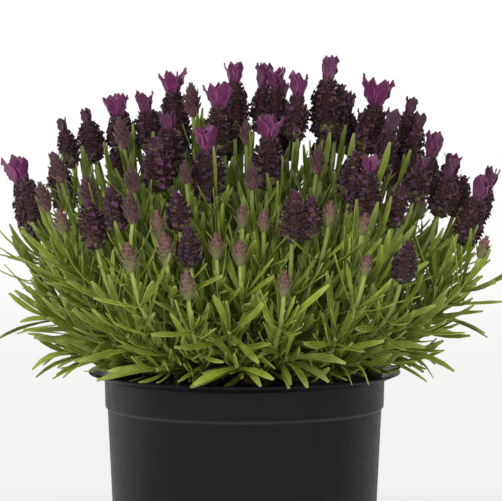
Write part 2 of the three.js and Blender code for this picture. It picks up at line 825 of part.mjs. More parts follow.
function finishShoot(skin, ring, shoot) {
  const { corners } = stemRing(shoot, 1);
  if (shoot.kind === "leafy") {
    const across = corners[1].clone().sub(corners[0]).normalize();
    skin.blade(ring, { ...endLeaf(shoot), across, width: END_LEAF_WIDTH });
  } else if (shoot.kind === "bud") growBud(skin, ring, corners[0], shoot.bloom);
  else skin.cap(ring);
}

// A bud: bracts in ranks on four corners, each rank turned half a step from the last
function growBud(skin, ring, corner, bud) {
  const out = corner.clone().sub(bud.foot);
  const start = Math.atan2(out.dot(bud.side), out.dot(bud.front));
  let last = ring;
  BUD_RANKS.forEach(({ height, girth }, rank) => {
    const turn = start + ((rank + 1) % 2) * (Math.PI / 4);
    const next = skin.loop(
      [0, 1, 2, 3].map((k) =>
        around(bud, bud.length * height, bud.radius * girth, turn + (k * Math.PI) / 2),
      ),
    );
    skin.bridge(last, next);
    last = next;
  });
  skin.close(last, around(bud, bud.length, 0, 0));
}

// A head: florets in ranks that stand out by turns, and three bracts drawn out of its top
function headSolid(head) {
  const draw = seeded(head.seed);
  const skin = new Skin();
  const turn = 2 * Math.PI * draw();
  const angleAt = (k) => turn + (2 * Math.PI * k) / HEAD_COLUMNS;
  const ringAt = (height, radiusOf) => {
    const corners = [];
    for (let k = 0; k < HEAD_COLUMNS; k++) corners.push(around(head, height, radiusOf(k), angleAt(k)));
    return skin.loop(corners);
  };
  let last = ringAt(0, () => HEAD_FOOT_RADIUS);
  skin.cap([...last].reverse());
  HEAD_RANKS.forEach(({ height, girth }, rank) => {
    const relief = rank === HEAD_RANKS.length - 1 ? 0 : HEAD_RELIEF;
    const radiusOf = (k) => head.radius * girth * (1 + ((rank + k) % 2 ? relief : -relief));
    const next = ringAt(head.length * height, radiusOf);
    skin.bridge(last, next);
    last = next;
  });
  if (head.bracts < OPEN_BRACTS) skin.close(last, around(head, head.length + head.bracts, 0, 0));
  else growBracts(skin, last, head, angleAt, draw);
  return skin.solid();
}

function growBracts(skin, ring, head, angleAt, draw) {
  const centre = skin.point(around(head, head.length + CLEARANCE, 0, 0));
  const reach = Math.max(head.spread, BRACT_CLOSED * head.radius);
  for (let k = 0; k < HEAD_COLUMNS; k += 2) {
    const angle = angleAt(k + 1);
    const length = head.bracts * pick(BRACT_LENGTH, draw);
    const middle = around(head, head.length + BRACT_BELLY * length, BRACT_BULGE * reach, angle);
    const out = middle.clone().sub(around(head, head.length + BRACT_BELLY * length, 0, 0)).normalize();
    const across = head.axis.clone().cross(out);
    const tip = around(head, head.length + length, reach, angle);
    tip.addScaledVector(across, pick(BRACT_SWAY, draw));
    const width = clamp(BRACT_WIDTH * length, ...BRACT_WIDTHS);
    const foot = [centre, ring[k], ring[k + 1], ring[(k + 2) % HEAD_COLUMNS]];
    growBract(skin, foot, { middle, tip, out, across, width });
  }
}

// A bract: flat inside, with its keel outside
function growBract(skin, foot, { middle, tip, out, across, width }) {
  const widest = skin.loop([
    middle.clone().addScaledVector(across, -width / 2),
    middle.clone().addScaledVector(out, LEAF_KEEL),
    middle.clone().addScaledVector(across, width / 2),
  ]);
  skin.bridge(foot, widest);
  skin.close(widest, tip);
}

// The bush as a whole
function crownRod({ x, y }, owner) {
  return rod(vec(x, y, SOIL_MIDDLE), vec(x, y, CROWN_HEIGHT), CROWN_RADIUS, owner);
}

function growBush(crowns) {
  const listed = [
    ...FRONT_HEADS.map((row, i) => bloom(row, false, FRONT_HEAD_SEED + i)),
    ...FRONT_BUDS.map((row, i) => bloom(row, true, FRONT_BUD_SEED + i)),
  ];
  const blooms = settle([...listed, ...domeBlooms(listed)]);
  const shoots = [...blooms.map(bloomShoot), ...leafyShoots()];
  shoots.forEach((shoot, i) => {
    shoot.seed = STEM_SEED + i;
    shoot.ownCrown = crowns[nearestCrown(crowns, shoot.tip)];
    shoot.sideways = vec(shoot.tip.y, -shoot.tip.x, 0).normalize();
    shoot.twist = Math.PI / 4 + (i % 3) * TWIST_STEP;
  });
  crowns.forEach((place) => fanOut(shoots.filter(({ ownCrown }) => ownCrown === place), place));
  const rods = crowns.map((place) => crownRod(place, place));
  for (const shoot of shoots) if (shoot.bloom) rods.push(...bloomRods(shoot.bloom, shoot));
  const standing = shoots.filter((shoot) => routeStem(shoot, rods));
  standing.forEach((shoot) => growLeaves(shoot, rods));
  return { blooms, shoots: standing };
}

// The model
const potMaterial = new THREE.MeshStandardMaterial({ color: 0x232124, roughness: 0.45 });
const soilMaterial = new THREE.MeshStandardMaterial({ color: 0x2c2018, roughness: 1 });
const leafMaterial = new THREE.MeshStandardMaterial({ color: 0x6b7a34, roughness: 0.7 });
const headMaterial = new THREE.MeshStandardMaterial({ color: 0x3d2238, roughness: 0.8 });

function addMesh(group, name, solid, material) {
  const mesh = new THREE.Mesh(toGeometry(solid), material);
  mesh.name = name;
  group.add(mesh);
}

function branchSolid(place, shoots) {
  const grown = shoots.filter(({ ownCrown }) => ownCrown === place);
  return withoutHollows(grown.reduce((sum, shoot) => sum.add(shootSolid(shoot)), crown(place)));
}

// Each head, fused with the one that leans on it
function headSolids(blooms) {
  const groups = [];
  for (const head of blooms) {
    if (head.isBud) continue;
    if (head.leans) groups.at(-1).push(head);
    else groups.push([head]);
  }
  return groups.map((group) =>
    withoutHollows(group.map(headSolid).reduce((sum, solid) => sum.add(solid))),
  );
}

const lavender = new THREE.Group();
const crowns = crownPlaces();
const bush = growBush(crowns);
addMesh(lavender, "pot", pot(), potMaterial);
addMesh(lavender, "soil", soil(crowns), soilMaterial);
crowns.forEach((place, i) => {
  addMesh(lavender, `leafy_branch_${i + 1}`, branchSolid(place, bush.shoots), leafMaterial);
});
headSolids(bush.blooms).forEach((solid, i) => {
  addMesh(lavender, `flower_head_${String(i + 1).padStart(2, "0")}`, solid, headMaterial);
});

export default lavender;
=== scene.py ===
"""Potted lavender: the looks of a butterfly lavender in a plain black nursery pot.

Places and sizes are in millimetres, as in the part's source, and become metres in the meshes.
The rule that places blooms, stems and leaves is the source's own, so every finer piece stands
where its plain solid does. More leaves than the solids have fill the bush between them.
"""
import math
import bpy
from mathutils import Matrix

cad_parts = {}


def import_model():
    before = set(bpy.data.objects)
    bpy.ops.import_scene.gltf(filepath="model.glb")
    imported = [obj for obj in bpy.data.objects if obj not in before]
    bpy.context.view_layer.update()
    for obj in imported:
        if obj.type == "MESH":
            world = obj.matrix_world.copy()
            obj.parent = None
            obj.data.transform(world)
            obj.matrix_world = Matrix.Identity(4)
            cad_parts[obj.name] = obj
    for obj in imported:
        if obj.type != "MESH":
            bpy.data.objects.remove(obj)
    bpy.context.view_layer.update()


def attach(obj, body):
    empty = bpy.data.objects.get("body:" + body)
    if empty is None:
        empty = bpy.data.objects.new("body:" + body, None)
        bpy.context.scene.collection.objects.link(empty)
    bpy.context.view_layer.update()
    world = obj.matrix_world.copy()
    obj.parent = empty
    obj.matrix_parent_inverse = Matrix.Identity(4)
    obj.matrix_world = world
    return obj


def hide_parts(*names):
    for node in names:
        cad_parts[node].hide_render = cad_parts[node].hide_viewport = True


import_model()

from types import SimpleNamespace

import bmesh
import bpy
import numpy as np
from mathutils import Vector, noise

bpy.ops.object.select_all(action="DESELECT")

MM = 0.001

# Pot
LIP_RADIUS = 85
LIP_TOP = 140
LIP_THICKNESS = 1.4
BAND_RADIUS = 76
BAND_FLARE = 0.4
BAND_TOP = 137
STEP_HEIGHT = 119
STEP_RISE = 1.2
STEP_INSIDE = 2
WALL_RADIUS = 74.8
BASE_RADIUS = 69.2
BASE_CHAMFER = 2
WALL_THICKNESS = 1.8
INNER_BAND = BAND_RADIUS - WALL_THICKNESS
FLOOR_THICKNESS = 3
POT_STEPS = 144
EDGE_WIDTH = 0.35
EDGE_ANGLE = 24
DRAIN_COUNT = 6
DRAIN_RADIUS = 5
DRAIN_CIRCLE = 50
HOLE_SIDES = 32

# Where the lip leaves the band, bulges, crests and turns down into the mouth
LIP_ROOT = 2.6
LIP_SAG = 0.3
LIP_BULGE = 0.1
LIP_EDGE = 0.7
LIP_CREST = 1.5
LIP_CREST_RISE = 0.5
LIP_MOUTH = 0.6
LIP_MOUTH_DROP = 0.4

# Soil and crowns, with the fineness and height of the soil's lumps
CLEARANCE = 0.3
SOIL_INSET = 0.75
SOIL_EDGE = 129
SOIL_MIDDLE = 132
SOIL_STEPS = 96
SOIL_RINGS = 24
SOIL_LUMPS = [(160, 1.1), (420, 0.7)]
LUMPS_FROM = SOIL_EDGE - 0.5
LUMPS_WITHIN = INNER_BAND - 2
HOLE_ROOM = 4
ROOT_DEPTH = 24
ROOT_RADIUS = 3.6
CROWN_RING = 7
CROWN_RING_RADIUS = 32
CROWN_RADIUS = 9.5
CROWN_HEIGHT = 144
CROWN_REACH = 0.27

# Stems
STEM_FOOT_RADIUS = 1.3
STEM_TIP_RADIUS = 1.15
STEM_STEP = 42
STEM_PULL = 0.36
STEM_LOWEST = 3
STEM_TRIES = 90
BLOOM_TRIES = 600
SWAY_START = 2.5
SWAY_POWER = 0.7
HIGH_SWAY = 0.6
TWIST_STEP = 0.35
FORK_REACH = 13
LONGEST_FORK = 0.9
FORK_ROOM = 0.38
FORK_ROUNDS = 60
FORK_LOWEST = 0.1
FORK_FLATNESS = 0.7
CURVE_DIVISIONS = 200

# Leaves: lengths, widths and angles in radians are drawn between two ends
LEAF_FOOT = 2.2
LEAF_WIDEST = 0.62
LEAF_LENGTH = (27, 43)
LEAF_WIDTH = (4.2, 5.4)
LEAF_LIFT = (0.5, 1.05)
LEAF_YAW = (-0.35, 0.35)
LEAF_CURL = (-0.05, 0.5)
LEAF_LOWEST = 138
LEAF_ROOM = 0.46
LEAF_TRIES = 22
LOWEST_WHORL = 0.22
END_LEAF = 24
END_LEAF_WIDTH = 4.6
END_LEAF_LIFT = 3

# Room around what stands in the pot
AIR = 0.5
POT_ROOM = 2.8
POT_CHECKS = 6
LIP_INSET = 8

# Heads and buds
HEAD_RANKS = [(0, 0.3), (0.12, 0.86), (0.42, 1.06), (0.72, 0.96), (1, 0.5)]
HEAD_WAIST = 1.22
HEAD_BITE = 2
HEAD_FLANK = (0.2, 0.65)
BLOOM_LEAN = 0.0026
SETTLING_ROUNDS = 60
FAR_APART = 80
OPEN_BRACTS = 4.5
BRACT_LENGTH = (0.8, 1)
BRACT_WIDTH = 0.62
BRACT_WIDTHS = (2.4, 8)
BRACT_BELLY = 0.6
BRACT_BULGE = 0.72
BRACT_CLOSED = 0.4
BRACT_SWAY = (-1, 1)
TUFT_TOP = 0.8
TUFT_ROOM = 2
BUD_RANKS = [(0, 0.4), (0.14, 0.85), (0.42, 1.15), (0.7, 0.85), (1, 0.15)]
BUD_WAIST = 1.15

# Heads that face the front: foot x, y, z; length and radius of the spike; length and spread of
# its bracts. One that leans on the head before it is marked so.
LEANS = True
FRONT_HEADS = [
    (-114, -15, 212, 32, 6, 16, 7.3),
    (-104, -40, 213, 32, 5.2, 4, 2.4, LEANS),
    (-94, 12, 250, 20, 4.6, 8, 2.6),
    (-81, 0, 254, 21, 6, 8, 3),
    (-74, -85, 212, 22, 5.6, 4, 2.6),
    (-66, 5, 257, 21, 5.6, 13, 8),
    (-49, 10, 258, 23, 6.4, 11.5, 5.5),
    (-38, 15, 260, 31, 6.6, 13, 9),
    (-38, -35, 248, 24, 5.8, 10, 4.2),
    (-44, -60, 240, 23, 6.4, 6, 3),
    (-66, -90, 221, 20, 4.8, 4, 2.4),
    (-13, -15, 258, 25, 6.4, 14.5, 8.3),
    (-4, 20, 266, 30, 6.2, 11.6, 5.8),
    (-18, -60, 235, 27, 6.6, 14, 6.5),
    (7, 25, 268, 25, 5.6, 15, 4.7),
    (18, 15, 268, 25, 5.5, 12.6, 5.5, LEANS),
    (27, -5, 265, 24, 5.2, 13.6, 5.4),
    (12, -55, 241, 27, 6.5, 13.6, 7.9),
    (-33, -92, 222, 16, 4.9, 4, 2.6),
    (-27, -104, 204, 17, 5, 4, 2.6),
    (24, -95, 216, 22, 5.6, 5, 3),
    (33, -92, 217, 19, 4.8, 4, 2.4, LEANS),
    (40, 10, 266, 32, 6.5, 13.7, 4.2),
    (52, 20, 265, 27, 4.8, 4, 2.4, LEANS),
    (67, 5, 258, 26, 6.8, 16.4, 10.5),
    (74, -12, 248, 23, 5, 12.4, 3.6),
    (83, 10, 257, 23, 4.9, 9.3, 3.4),
    (91, 0, 250, 22, 5, 9.2, 3.4, LEANS),
    (95, -16, 236, 21, 5, 15, 4.8),
    (89, -45, 234, 18, 6, 7.4, 3.8),
    (63, -75, 226, 26, 6.4, 8.3, 6),
    (52, -65, 236, 22, 5.6, 4, 2.6, LEANS),
    (77, -70, 222, 19, 4.6, 4, 2.4),
    (103, -35, 226, 21, 6, 11, 3.6),
    (117, -30, 210, 26, 6, 13, 5),
    (126, 3, 220, 20, 4.8, 12, 4),
    (80, -95, 195, 18, 4.8, 4, 2.4),
]

# Buds that face the front: foot x, y, z; length and radius
FRONT_BUDS = [
    (-98, -27, 244, 14, 4),
    (-103, -60, 230, 15, 3.4),
    (-93, -75, 219, 12, 3.6),
    (-80, -58, 232, 16, 4.2),
    (-64, -32, 262, 16, 3.7),
    (-57, -80, 241, 12, 3.4),
    (-57, -97, 226, 15, 3.8),
    (-57, -109, 202, 14, 4),
    (-28, 5, 278, 18, 4),
    (-30, -72, 245, 11, 2.8),
    (1, -25, 264, 12, 3.2),
    (4, -76, 242, 13, 3.3),
    (-1, -92, 223, 11, 2.8),
    (10, -93, 221, 10, 2.8),
    (-2, -106, 205, 12, 3.3),
    (20, -114, 190, 12, 3.1),
    (-43, -97, 217, 15, 3.3),
    (-39, -106, 205, 16, 3.7),
    (-14, -103, 208, 12, 3.3),
    (-28, -115, 188, 15, 3.5),
    (43, -90, 224, 12, 3.3),
    (38, -50, 249, 14, 3.4),
    (124, -52, 205, 11, 3),
    (61, -108, 200, 10, 2.8),
    (60, -99, 220, 10, 2.8),
]

# The rest of the dome, which a spiral of even steps fills
DOME_SPOTS = 52
DOME_RADIUS = 122
DOME_DEPTH = 0.94
DOME_TOP = 262
DOME_FALL = 46
DOME_FALL_POWER = 2.6
DOME_UNEVEN = (-7, 7)
DOME_FRONT = -12
DOME_NODES = 19
DOME_HEAD = [(20, 29), (5.2, 6.4), (4, 14), (2.6, 6.5)]
SPOT_ROOM = 18
PARTNER_SHARE = 0.75
PARTNER_REACH = 11
PARTNER_TURN = (-1.5, 1.5)
PARTNER_DROP = (2, 9)
PARTNER_HEAD = [(18, 24), (4.8, 5.8), (4, 9), (2.8, 3.4)]
DOME_BUD_FROM = 100
DOME_BUD_SHARE = 0.4
DOME_BUD = [(11, 16), (3, 4)]

# Leafy shoots in tiers: count, reach, height, rise, turn, droop, and drops of the whorls
LEAFY_TIERS = [
    (13, 88, 150, 14, 13, 0.6, (29, 15, 3)),
    (12, 104, 168, 32, 22, 0.2, (16, 3)),
    (12, 108, 192, 58, 5, 0, (16, 3)),
]
LEAFY_TURN = (-0.2, 0.2)
LEAFY_RISE = (-8, 8)
LEAFY_REACH = (-4, 4)
LEAFY_HEIGHT = (-3, 5)
LEAFY_VIGOUR = 0.95
BLOOM_VIGOUR = 0.9
FRONT_FROM = -60
LOW_BUD = 225
BUD_WHORLS = (22,)
FRONT_WHORLS = (34,)

# Where each group of seeds starts
FRONT_HEAD_SEED = 100
FRONT_BUD_SEED = 200
TIER_SEED = 300
TIER_SEED_STEP = 40
SPOT_SEED = 700
DOME_SEED = 900
PARTNER_SEED = 950
STEM_SEED = 1000
LEAF_SEED = 6000

# The steps of an even run of numbers
SEED_FACTOR = 2654435761
DRAW_FACTOR = 1664525
DRAW_STEP = 1013904223
DRAW_RANGE = 2**32

# Leafy shoots that only the looks need, between the ones that the solids have
FILL_TIERS = [
    (8, 24, 248, 84, 8, 0, ()),
    (12, 46, 243, 78, 0, 0, ()),
    (14, 62, 243, 76, 20, 0, ()),
    (16, 76, 216, 64, 11, 0, ()),
    (16, 92, 200, 52, 3, 0, ()),
    (16, 82, 236, 74, 14, 0, ()),
    (13, 104, 216, 58, 9, 0, ()),
    (13, 84, 168, 28, 17, 0.3, ()),
    (16, 72, 147, 12, 0, 0.1, ()),
    (14, 60, 152, 24, 11, 0.2, ()),
]
FILL_SEED = 9000
FILL_VIGOUR = 0.9

# Leaves that only the looks need, down each stem: sizes are shares of a full leaf's
FILL_FROM = {"head": 24, "bud": 16, "leafy": 10}
FILL_START = 6
FILL_STEP = 12
FILL_UP_TO = 0.72
FILL_SIZE = (0.55, 0.95)
TUFT_SIZE = (0.28, 0.5)
TUFT_CHANCE = 0.4
FILL_TRIES = 3
FILL_SLIMNESS = (0.3, 0.78)
FILL_LOWEST = 130
FILL_LIFT = (0.25, 0.8)
FILL_CURL = (0, 0.9)
SLIMNESS = 0.76

# Outlines of blades: shares of the length, and the widths there
LEAF_OUTLINE = ([0, 0.12, 0.35, 0.62, 0.85, 1], [0.34, 0.4, 0.72, 1, 0.86, 0.36])
BRACT_OUTLINE = ([0, 0.2, 0.5, 0.7, 0.88, 1], [0.34, 0.55, 1, 0.92, 0.5, 0.06])
SCALE_OUTLINE = ([0, 0.5, 1], [0.7, 1, 0.28])

# Blades: columns and rows of faces, outline, cup, wave and thickness
BLADES = {
    "leaf": (2, 5, LEAF_OUTLINE, 0.22, 0, 0.24),
    "small leaf": (2, 4, LEAF_OUTLINE, 0.3, 0, 0.3),
    "bract": (4, 5, BRACT_OUTLINE, 0.26, 0.3, 0.1),
    "scale": (2, 2, SCALE_OUTLINE, 0.4, 0, 0.1),
}
WAVE_PACE = 7
WAVE_SHIFT = 2

# Stems, and woody bases as radii and heights
STEM_RINGS = 18
CORE_RINGS = 8
ROD_SIDE = 1.63
ROD_CORNER = 0.23
BASE_SIDES = 14
BASE_PROFILE = [(3, 108), (3.6, 133), (6.5, 136), (9.5, 140), (8.6, 146), (7.3, 150), (2.4, 153)]
BASE_KNOTS = 0.7
BASE_KNOTS_FROM = SOIL_MIDDLE + 2
BASE_KNOTS_SEED = 3
BASE_TINT = 0.5

# Scales: their feet, bellies and tips as rises from the rank and shares of the girth
FEWEST_RANKS = 4
RANK_STEP = 2.1
SCALE_COLUMNS = 8
BUD_COLUMNS = 7
SCALE_SPAN = 0.95
SCALE_START = 0.1
SCALE_RISE = 1.5
SCALE_TURN = (-0.1, 0.1)
SCALE_OVERLAP = 1.3
SCALE_PLACES = [(-0.6, 0.66), (1.6, 0.98), (3.3, 1.06)]
SCALE_BELLY = 0.5
CHANCE_IN_TINT = 0.2
CORE_SHARE = 0.74
CORE_TINT = 0.1
SPIKE_EDGES = 4
EDGE_SWELL = 0.14

# Florets: a stretch of the tube is a drop and the share to which it narrows
LOBES = 5
LOBE_DIP = 0.12
NOTCH = 0.62
TUBE = [(0.3, 0.55), (1.5, 1.1)]
MOUTH_FROM = -0.2
THROAT_RADIUS = 0.1
THROAT_DEPTH = 0.3
FLORET_CHANCE = (0.85, 0.34)
FLORET_RISE = (0.5, 1)
FLORET_TURN = (0, 0.5)
FLORET_LIFT = (0.1, 0.9)
FLORET_RADIUS = (1.4, 2.1)
FLORET_REACH = (1.24, 1.4)

# Hairs between the scales
HAIRS = 70
HAIR_LENGTH = (1.6, 3)
HAIR_WIDTH = 0.34
HAIR_LIFT = (0.2, 1.2)
HAIR_TILT = 0.3
HAIR_DEPTH = 1.02

# Bracts on top of a head: three outer ones, as the solids have, and shorter inner ones
OUTER_BRACTS = 3
INNER_BRACTS = 6
INNER_LENGTH = (0.65, 1.02)
INNER_REACH = (0.35, 1.05)
INNER_TURN = (0, 0.7)
BRACT_FOOT_DEPTH = 2
BRACT_FOOT_RADIUS = 0.3
BRACT_TWIST = 0.3
INNER_TWIST = 0.9
BRACT_FULLNESS = 1.02
INNER_FULLNESS = 0.85
CLOSED_TINT = (0, 0.3)
OPEN_TINT = (0.55, 1)
TINT_SPREAD = (3.3, 6)

# Crumbs of soil
CRUMBS = 420
CRUMB_SIZE = (0.7, 2.1)
CRUMB_INSET = 4
CRUMB_RISE = 0.3
CRUMB_ROOM = 3.5

# Where each finish stands in a branch's and in a head's list
LEAF, STEM, BARK, BUD = range(4)
CALYX, COROLLA, BRACT, WOOL = range(4)

# Angles in degrees up to which faces are shaded as one
GROWTH_SMOOTH = 55
POT_SMOOTH = 35

# Camera, lamps and floor, in metres and watts
CAMERA_PLACE = (0.0035, -1.5, 0.3)
CAMERA_AIM = (0.0035, 0, 0.205)
CAMERA_LENS = 197.8
CAMERA_SENSOR = 36
CAMERA_REACH = 30
LAMPS = [
    ("key", (-0.6, -1.3, 0.85), 0.8, 21),
    ("fill", (0.8, -1.2, 0.5), 0.9, 8),
    ("top", (0.1, 0.2, 1.6), 1.2, 8),
    ("left_rim", (-1.0, 0.28, 0.22), 0.6, 4),
    ("right_rim", (1.0, 0.28, 0.22), 0.6, 0.9),
    ("back", (0.2, 1.3, 0.55), 1.0, 6),
]
LAMP_AIM = (0, 0, 0.18)
WORLD_LIGHT = (0.27, 1)
FLOOR_SIZE = 16
FLOOR_FADE = (0.22, 0.55)
FLOOR_GLOW = (0.6, 3.4, 0.895, 1.0)


def srgb(red, green, blue):
    """A colour as a screen shows it, in the numbers that a shader takes."""
    parts = [((value / 255 + 0.055) / 1.055) ** 2.4 for value in (red, green, blue)]
    return (*parts, 1)


# Mottles: a light and a dark colour, how fine the blotches are, and how sharp where it isn't 1
YOUNG_LEAF = (srgb(146, 160, 58), srgb(112, 128, 34), 260)
GROWN_LEAF = (srgb(98, 112, 28), srgb(60, 76, 9), 260)
FRESH_STEM = (srgb(146, 158, 84), srgb(108, 122, 50), 300)
BASE_BARK = (srgb(122, 98, 66), srgb(58, 44, 28), 220, 2)
GREEN_BUD = (srgb(114, 116, 64), srgb(78, 82, 42), 420)
PINK_BUD = (srgb(132, 80, 86), srgb(84, 46, 52), 420)
PURPLE_CALYX = (srgb(72, 34, 41), srgb(30, 14, 17), 500)
GREY_CALYX = (srgb(86, 75, 52), srgb(50, 40, 29), 500)
VIOLET_FLORET = (srgb(40, 21, 39), srgb(20, 10, 20), 900)
FLORET_WOOL = (srgb(90, 71, 64), srgb(50, 33, 37), 700)
PALE_HAIR = (srgb(176, 160, 138), srgb(116, 92, 96), 600)
BRIGHT_BRACT = (srgb(128, 40, 100), srgb(84, 25, 65), 350)
DEEP_BRACT = (srgb(62, 24, 44), srgb(36, 14, 26), 350)
BLACK_PLASTIC = (srgb(18, 15, 18), srgb(13, 11, 13), 60)
FINE_DUST = ((1, 1, 1, 1), (0, 0, 0, 1), 900, 3)
DARK_EARTH = (srgb(86, 64, 44), srgb(30, 21, 14), 380, 2)

# Plain colours that lie over the mottles
LEAF_BASE = srgb(42, 58, 8)
LEAF_RIB = srgb(158, 172, 78)
LEAF_END = srgb(166, 178, 104)
# Painted shade: a dark green laid over leaves high in the bush, as if in the shadow of the heads above
# them
PAINTED_SHADE_HIGH_LEAF = srgb(34, 48, 12)
STEM_CORNER = srgb(168, 178, 96)
STEM_WOOD = srgb(84, 70, 40)
STEM_BROWN = srgb(104, 96, 52)
# Painted shade: a dark green laid over stems high in the bush, as if in the shadow of the heads above
# them
PAINTED_SHADE_HIGH_STEM = srgb(44, 54, 20)
RIPE_BUD = srgb(56, 28, 38)
BUD_RIM = srgb(138, 116, 92)
CALYX_STRAW = srgb(136, 126, 84)
# Painted shade: near black at the foot of each scale, where it tucks under the rank above
PAINTED_SHADE_CALYX = srgb(24, 15, 19)
LOW_CALYX = srgb(66, 48, 26)
CALYX_RIM = srgb(104, 80, 70)
SPENT_FLORET = srgb(76, 45, 42)
FRESH_FLORET = srgb(94, 38, 84)
LOBE_RIM = srgb(86, 42, 84)
BRACT_VEIN = srgb(58, 16, 46)
BRACT_BASE = srgb(44, 20, 34)
# Lighter bract rims: partly the bracts' paler edges, partly a painted highlight
BRACT_RIM_AND_HIGHLIGHT = srgb(160, 80, 136)
POT_DUST = srgb(92, 88, 84)
# Painted highlight: a thin lighter grey line on the step under the band, standing in for the floor's
# reflection
PAINTED_STEP_HIGHLIGHT = srgb(58, 54, 58)
WHITE = (1, 1, 1, 1)
BLACK = (0, 0, 0, 1)
FLOOR_COLOUR = (0.72, 0.715, 0.71, 1)
FLOOR_LIGHT = (1, 0.994, 0.988, 1)
VEIN_PACE = 15.7

# The mottle's group: its inputs, how far its blotches shade over, and how much finer its grain is
MOTTLE_INPUTS = {"Light": "Color", "Dark": "Color", "Scale": "Float", "Sharpness": "Float"}
BLOTCH_SPREAD = 0.25
GRAIN_FINENESS = 4

# Sockets of the Mix node for colours, and columns of a rod's row
MIX_SHARE, MIX_FIRST, MIX_SECOND = 0, 6, 7
MIX_RESULT = 2
ROD_RADIUS, ROD_OWNER = 6, 7

GOLDEN_TURN = math.pi * (3 - math.sqrt(5))
UP = np.array((0.0, 0.0, 1.0))
NEARLY_PARALLEL = 1e-9
NEAR = 1e-4
MERGE_DISTANCE = 1e-5


def mix(start, end, share):
    return start + (end - start) * share


def pick(ends, draw):
    return mix(*ends, draw())


def clamp(value, low, high):
    return min(max(value, low), high)


def unit(vector):
    return vector / np.linalg.norm(vector)


def seeded(seed):
    """A run of even random numbers from 0 to 1 that a seed fixes."""
    state = seed * SEED_FACTOR % DRAW_RANGE

    def draw():
        nonlocal state
        state = (state * DRAW_FACTOR + DRAW_STEP) % DRAW_RANGE
        return state / DRAW_RANGE

    return draw


# Blooms: where each head and bud stands, once none is in another's way
def bloom(row, is_bud, seed):
    x, y, z, length, radius, bracts, spread, leans = (*row, *(0, 0, False)[len(row) - 5:])
    axis = unit(np.array((x * BLOOM_LEAN, y * BLOOM_LEAN, 1.0)))
    side = unit(np.cross(axis, (1, 0, 0)))
    return SimpleNamespace(
        foot=[float(x), float(y), float(z)], axis=axis, line=tuple(map(float, axis)), side=side,
        front=np.cross(side, axis), length=length, radius=radius, bracts=bracts, spread=spread,
        leans=leans, is_bud=is_bud, seed=seed)


def outward(head, angle):
    return head.front * math.cos(angle) + head.side * math.sin(angle)


def around(head, height, radius=0.0, angle=0.0):
    """A place on a bloom: how far up its axis, how far out and which way round."""
    return np.array(head.foot) + head.axis * height + outward(head, angle) * radius


def raised(head, height):
    (x, y, z), (ax, ay, az) = head.foot, head.line
    return (x + ax * height, y + ay * height, z + az * height)


def bloom_rods(head):
    """A rod for the spike and one for the tuft: their ends and their radii."""
    top = raised(head, head.length)
    waist = head.radius * (BUD_WAIST if head.is_bud else HEAD_WAIST)
    rods = [(raised(head, head.radius / 2), top, waist)]
    if head.bracts > 0:
        end = raised(head, head.length + TUFT_TOP * head.bracts)
        rods.append((top, end, head.spread / 2 + TUFT_ROOM))
    return rods


def between(one, other):
    """The way from one rod's centre line to the other's where they are nearest."""
    (ax, ay, az), (bx, by, bz), _ = one
    (cx, cy, cz), (dx, dy, dz), _ = other
    ux, uy, uz = bx - ax, by - ay, bz - az
    vx, vy, vz = dx - cx, dy - cy, dz - cz
    wx, wy, wz = ax - cx, ay - cy, az - cz
    uu = ux * ux + uy * uy + uz * uz
    uv = ux * vx + uy * vy + uz * vz
    vv = vx * vx + vy * vy + vz * vz
    uw = ux * wx + uy * wy + uz * wz
    vw = vx * wx + vy * wy + vz * wz
    skew = uu * vv - uv * uv
    s = clamp((uv * vw - vv * uw) / skew, 0, 1) if skew > NEARLY_PARALLEL else 0
    t = clamp((uv * s + vw) / vv, 0, 1)
    s = clamp((uv * t - uw) / uu, 0, 1)
    return (wx + ux * s - vx * t, wy + uy * s - vy * t, wz + uz * s - vz * t)


def ease(one, other, a, b, wanted):
    """Moves two blooms sideways until the given rods of theirs lie the wanted distance apart."""
    gap = between(a, b)
    move = (wanted - math.hypot(*gap)) / 2
    flat = math.hypot(gap[0], gap[1])
    for i in (0, 1):
        one.foot[i] += gap[i] / flat * move
        other.foot[i] -= gap[i] / flat * move


def ease_apart(one, other):
    if math.dist(one.foot, other.foot) > FAR_APART:
        return
    for a in bloom_rods(one):
        for b in bloom_rods(other):
            room = a[2] + b[2] + AIR
            if math.hypot(*between(a, b)) < room:
                ease(one, other, a, b, room)


def flank(head):
    low, high = (raised(head, share * head.length) for share in HEAD_FLANK)
    return low, high, head.radius


def settle(blooms):
    """Blooms are eased apart, and those that lean are eased together until they bite."""
    for _ in range(SETTLING_ROUNDS):
        for i, one in enumerate(blooms):
            for j, other in enumerate(blooms[i + 1:]):
                if j > 0 or not other.leans:
                    ease_apart(one, other)
        for one, other in zip(blooms, blooms[1:]):
            if other.leans:
                wanted = one.radius + other.radius - HEAD_BITE
                ease(one, other, flank(one), flank(other), wanted)
    return blooms


def partner(x, y, z, draw, seed):
    turn = math.atan2(y, x) + pick(PARTNER_TURN, draw)
    place = (x + PARTNER_REACH * math.cos(turn), y + PARTNER_REACH * math.sin(turn),
             z - pick(PARTNER_DROP, draw))
    size = [pick(ends, draw) for ends in PARTNER_HEAD]
    return bloom((*place, *size, LEANS), False, seed)


